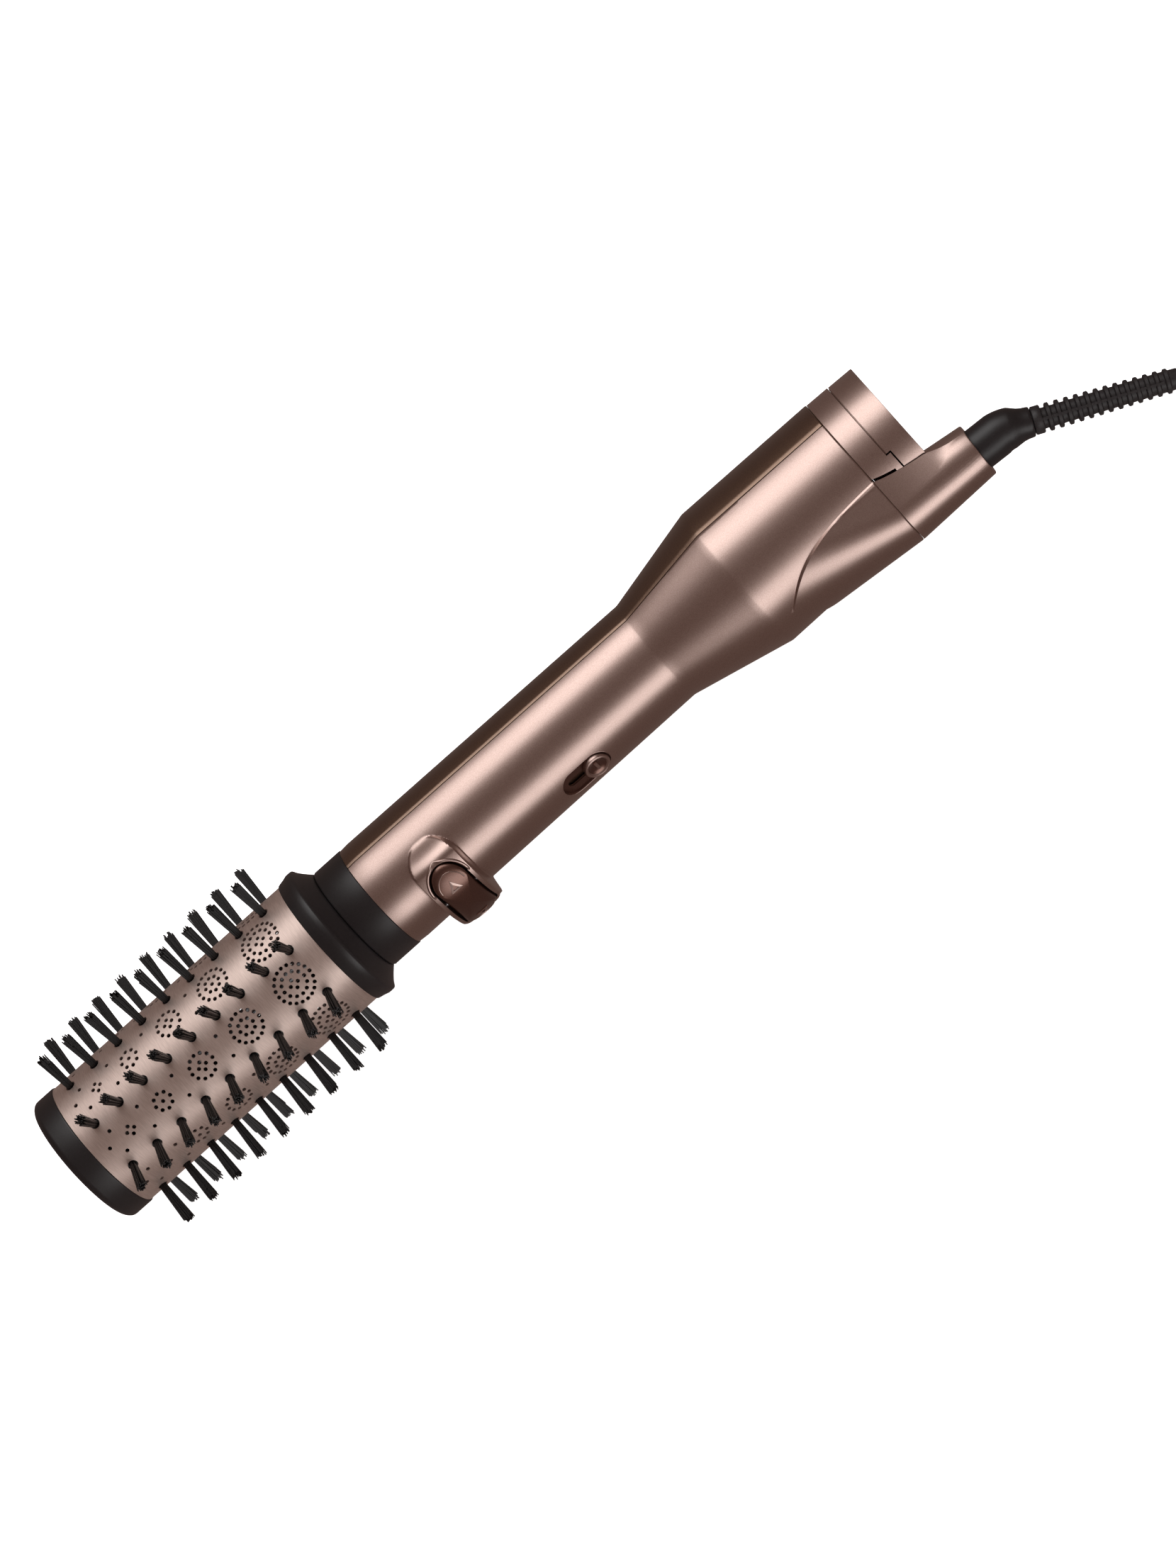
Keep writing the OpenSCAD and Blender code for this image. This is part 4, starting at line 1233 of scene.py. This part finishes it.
def build_slide_button():
    """The slide button with a dark piece in its dish as painted shade, and the shield that closes its slot."""
    floor_y = HANDLE_END_R - RECESS_DEPTH
    at = PLACE @ Matrix.Translation((KNOB_X, -floor_y - 0.15, 0)) @ Matrix.Rotation(-math.pi / 2, 4, "Z")
    profile = [(0, 0), (0, KNOB_R - 0.1), (0.2, KNOB_R), (1.6, KNOB_R), (1.95, KNOB_R - 0.2),
               (2.1, KNOB_R - 0.6), (2.0, KNOB_R - 0.95), (1.5, KNOB_R - 1.35), (1.1, KNOB_R - 2.0),
               (0.9, KNOB_R - 3.0), (0.85, 0)]
    knob = make_mesh("slide_button", *lathe(profile, 72), at, "casing_paint", 50)
    bar = loft([[(x, -0.5, -1.7), (x, 0.5, -1.7), (x, 0.5, 1.7), (x, -0.5, 1.7)] for x in (0.5, 1.55)])
    boolean(knob, bar, at, "UNION")
    stem = loft([[(x, -1.6, -1.2), (x, 1.6, -1.2), (x, 1.6, 1.2), (x, -1.6, 1.2)] for x in (-2.8, 0.2)])
    boolean(knob, stem, at, "UNION")
    finish_mesh(knob, "casing_paint", 35)
    settle(knob, "slide_knob", "slide_knob")
    # The dark piece in the dish is painted shade
    dish = [(0.7, 0), (0.7, KNOB_R - 1.9), (1.2, KNOB_R - 1.9), (1.55, KNOB_R - 1.33), (1.62, KNOB_R - 1.33),
            (1.25, KNOB_R - 2.0), (1.0, KNOB_R - 3.0), (0.95, 0)]
    piece = make_mesh("slide_button_dish_shade", *lathe(dish, 72), at, "casing_paint", 50, material="rocker_and_shade_paint")
    settle(piece, "slide_knob")
    # A thin shield slides with the button and closes its slot from inside
    shield = loft([[(KNOB_X + x, -15.3, -2.2), (KNOB_X + x, -14.9, -2.2), (KNOB_X + x, -14.9, 2.2),
                    (KNOB_X + x, -15.3, 2.2)] for x in (-15.5, -2, 7.5)])
    # The shield's darker paint is painted shade in the slot
    piece = make_mesh("slot_shield", *shield, PLACE, "casing_paint", material="shaded_back_paint")
    settle(piece, "slide_knob")


def finish_inner_pieces():
    """Inner pieces keep their shape and take the finish of their slot."""
    slots = {part["node"]: part["material_slot"] for part in frame["record"]["subparts"]}
    for node, piece in frame["nodes"].items():
        piece.data.materials.clear()
        piece.data.materials.append(MATERIALS[slots[node]])


def build_camera():
    """The camera at the viewing angle."""
    towards = tool_direction(0, -math.cos(VIEW_TURN), math.sin(VIEW_TURN))
    lower = tool_direction(0, -math.sin(VIEW_TURN), -math.cos(VIEW_TURN))
    along = tool_direction(1, 0, 0)
    place = PLACE @ Vector((VIEW_FROM_X, 0, 0)) + lower * VIEW_DROP + towards * VIEW_DISTANCE
    target = PLACE @ Vector((VIEW_TO_X, 0, 0)) + lower * VIEW_DROP
    back = (place - target).normalized()
    right = math.cos(VIEW_ROLL) * along + math.sin(VIEW_ROLL) * lower
    right = (right - back * right.dot(back)).normalized()
    up = back.cross(right)
    data = bpy.data.cameras.new("camera")
    data.lens = 121.6
    data.sensor_width = 36
    data.dof.use_dof = False
    camera = new_object("camera", data)
    camera.matrix_world = frame_matrix(place, right, up, back, 1)
    bpy.context.scene.camera = camera


def strip_light(name, angle, distance, length, width, power, station):
    """A long soft light beside the tool, at an angle from the view direction towards the buttons."""
    turn = VIEW_TURN - math.radians(angle)
    outward = tool_direction(0, -math.cos(turn), math.sin(turn))
    along = tool_direction(1, 0, 0)
    data = bpy.data.lights.new(name, "AREA")
    data.shape = "RECTANGLE"
    data.size = length
    data.size_y = width
    data.energy = power
    light = new_object(name, data)
    place = PLACE @ Vector((station, 0, 0)) + outward * distance
    light.matrix_world = frame_matrix(place, along, outward.cross(along), outward, 1)
    return light


def build_stage():
    """The floor, the room's even light and the lights."""
    # Opal acrylic lit from below: an even white without shadows
    material, _, _ = base_material("lit_opal_acrylic", "#FFFFFF", 0.0, 0.9,
                                   Emission_Color=(1, 1, 1, 1), Emission_Strength=0.95)
    mesh = bpy.data.meshes.new("studio_floor")
    corners = [(x, y, -FLOOR_DROP) for x, y in ((-FLOOR_REACH, -FLOOR_REACH), (FLOOR_REACH, -FLOOR_REACH),
                                                (FLOOR_REACH, FLOOR_REACH), (-FLOOR_REACH, FLOOR_REACH))]
    mesh.from_pydata(corners, [], [(0, 1, 2, 3)])
    mesh.materials.append(material)
    floor = new_object("studio_floor", mesh)
    floor.visible_glossy = False
    world = bpy.data.worlds.new("studio_world")
    world.use_nodes = True
    bpy.context.scene.world = world
    background = world.node_tree.nodes["Background"]
    background.inputs["Color"].default_value = linear("#F2CFC2")
    background.inputs["Strength"].default_value = CHOICES.world_strength
    # The strips end short of the front, so that the cone behind the handle is darker than the rest
    strip_light("button_side_strip", 50, 1.1, 1.1, 0.58, 5.0, 375)
    strip_light("overhead_strip", -56, 1.2, 1.1, 0.85, 8.0, 380)
    fill = strip_light("floor_fill", -10, 3.2, 3.0, 2.5, 25.0, 165)
    fill.visible_glossy = False
    bpy.context.scene.view_settings.view_transform = "Standard"


# ---------------------------------------------------------------- add-on


class BrushChoices(bpy.types.PropertyGroup):
    """Colours and sizes that a user would change."""

    casing_hex: StringProperty(name="Casing colour", default="#BDA59C",
                               description="sRGB hex colour of the paint's light flakes")
    casing_dark_hex: StringProperty(name="Casing dark", default="#AC938A",
                                    description="sRGB hex colour of the paint's dark flakes")
    barrel_hex: StringProperty(name="Barrel colour", default="#DAC7BE",
                               description="sRGB hex colour of the barrel's light draw lines")
    barrel_dark_hex: StringProperty(name="Barrel dark", default="#CAB7AE",
                                    description="sRGB hex colour of the barrel's dark draw lines")
    filaments: IntProperty(name="Filaments", description="Filaments in one tuft", default=42, min=12, max=60)
    filament_diameter: FloatProperty(name="Filament diameter", description="Diameter of one filament",
                                     default=0.44 * MM, min=0.0001, max=0.001, precision=5, unit="LENGTH")
    tuft_height: FloatProperty(name="Tuft height", description="Height of the tufts above the barrel",
                               default=TUFT_H * MM, min=0.005, max=TUFT_H * MM, precision=4, unit="LENGTH")
    world_strength: FloatProperty(name="Room light", description="Strength of the even light all round",
                                  default=0.18, min=0.0, max=2.0)


class AIRBRUSH_OT_camera(bpy.types.Operator):
    """Sets up the camera at the viewing angle."""

    bl_idname = "airbrush.camera"
    bl_label = "Camera"

    def execute(self, context):
        build_camera()
        return {"FINISHED"}


class AIRBRUSH_OT_strain_relief(bpy.types.Operator):
    """Builds the elbow and the ringed strain relief."""

    bl_idname = "airbrush.strain_relief"
    bl_label = "Elbow and Strain Relief"

    def execute(self, context):
        build_elbow()
        build_strain_relief()
        return {"FINISHED"}


class AIRBRUSH_OT_lead(bpy.types.Operator):
    """Builds the lead, its coil, its tie and the plug."""

    bl_idname = "airbrush.lead"
    bl_label = "Lead and Plug"

    def execute(self, context):
        build_lead_and_plug()
        return {"FINISHED"}


class AIRBRUSH_OT_barrel(bpy.types.Operator):
    """Builds the perforated barrel."""

    bl_idname = "airbrush.barrel"
    bl_label = "Barrel"

    def execute(self, context):
        build_barrel()
        return {"FINISHED"}


class AIRBRUSH_OT_bristles(bpy.types.Operator):
    """Builds the rows of bristle tufts."""

    bl_idname = "airbrush.bristles"
    bl_label = "Bristles"

    def execute(self, context):
        build_bristles()
        return {"FINISHED"}


class AIRBRUSH_OT_head_fittings(bpy.types.Operator):
    """Builds the end cap, the flange and the collar."""

    bl_idname = "airbrush.head_fittings"
    bl_label = "Head Fittings"

    def execute(self, context):
        build_end_cap()
        build_flange()
        build_collar()
        return {"FINISHED"}


class AIRBRUSH_OT_casing(bpy.types.Operator):
    """Builds the two halves of the casing."""

    bl_idname = "airbrush.casing"
    bl_label = "Casing"

    def execute(self, context):
        build_button_shell()
        build_back_shell()
        build_casing_trim()
        return {"FINISHED"}


class AIRBRUSH_OT_rear(bpy.types.Operator):
    """Builds the ring, the filter cap and its grille."""

    bl_idname = "airbrush.rear"
    bl_label = "Rear Ring and Filter Cap"

    def execute(self, context):
        build_ring()
        build_filter_cap()
        build_grille()
        build_snap_tab()
        return {"FINISHED"}


class AIRBRUSH_OT_sleeve(bpy.types.Operator):
    """Builds the sleeve that the lead leaves through."""

    bl_idname = "airbrush.sleeve"
    bl_label = "Cord Sleeve"

    def execute(self, context):
        build_sleeve()
        return {"FINISHED"}


class AIRBRUSH_OT_controls(bpy.types.Operator):
    """Builds the rocker pad and the slide button."""

    bl_idname = "airbrush.controls"
    bl_label = "Rocker and Slide Button"

    def execute(self, context):
        build_rocker()
        build_slide_button()
        return {"FINISHED"}


class AIRBRUSH_OT_inner_pieces(bpy.types.Operator):
    """Gives the inner pieces their finish."""

    bl_idname = "airbrush.inner_pieces"
    bl_label = "Inner Pieces"

    def execute(self, context):
        finish_inner_pieces()
        return {"FINISHED"}


class AIRBRUSH_OT_stage(bpy.types.Operator):
    """Builds the floor and the lights."""

    bl_idname = "airbrush.stage"
    bl_label = "Studio"

    def execute(self, context):
        build_stage()
        return {"FINISHED"}


# In the order in which they run
OPERATORS = [
    AIRBRUSH_OT_camera,
    AIRBRUSH_OT_strain_relief,
    AIRBRUSH_OT_lead,
    AIRBRUSH_OT_barrel,
    AIRBRUSH_OT_bristles,
    AIRBRUSH_OT_head_fittings,
    AIRBRUSH_OT_casing,
    AIRBRUSH_OT_rear,
    AIRBRUSH_OT_sleeve,
    AIRBRUSH_OT_controls,
    AIRBRUSH_OT_inner_pieces,
    AIRBRUSH_OT_stage,
]


class AIRBRUSH_PT_panel(bpy.types.Panel):
    """Lists the brush's choices and the operators that build it."""

    bl_idname = "AIRBRUSH_PT_panel"
    bl_label = "Hot Air Brush"
    bl_space_type = "VIEW_3D"
    bl_region_type = "UI"
    bl_category = "Air Brush"

    def draw(self, context):
        for name in BrushChoices.__annotations__:
            self.layout.prop(context.scene.brush_choices, name)
        for each in OPERATORS:
            self.layout.operator(each.bl_idname)


CLASSES = [BrushChoices, *OPERATORS, AIRBRUSH_PT_panel]


def register():
    for each in CLASSES:
        bpy.utils.register_class(each)
    bpy.types.Scene.brush_choices = PointerProperty(type=BrushChoices)


def unregister():
    del bpy.types.Scene.brush_choices
    for each in reversed(CLASSES):
        bpy.utils.unregister_class(each)


def main():
    """Registers the add-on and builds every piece."""
    global CHOICES, MATERIALS
    register()
    CHOICES = bpy.context.scene.brush_choices
    MATERIALS = all_materials()
    for each in OPERATORS:
        getattr(bpy.ops.airbrush, each.bl_idname.split(".")[1])()


if __name__ == "__main__":
    main()
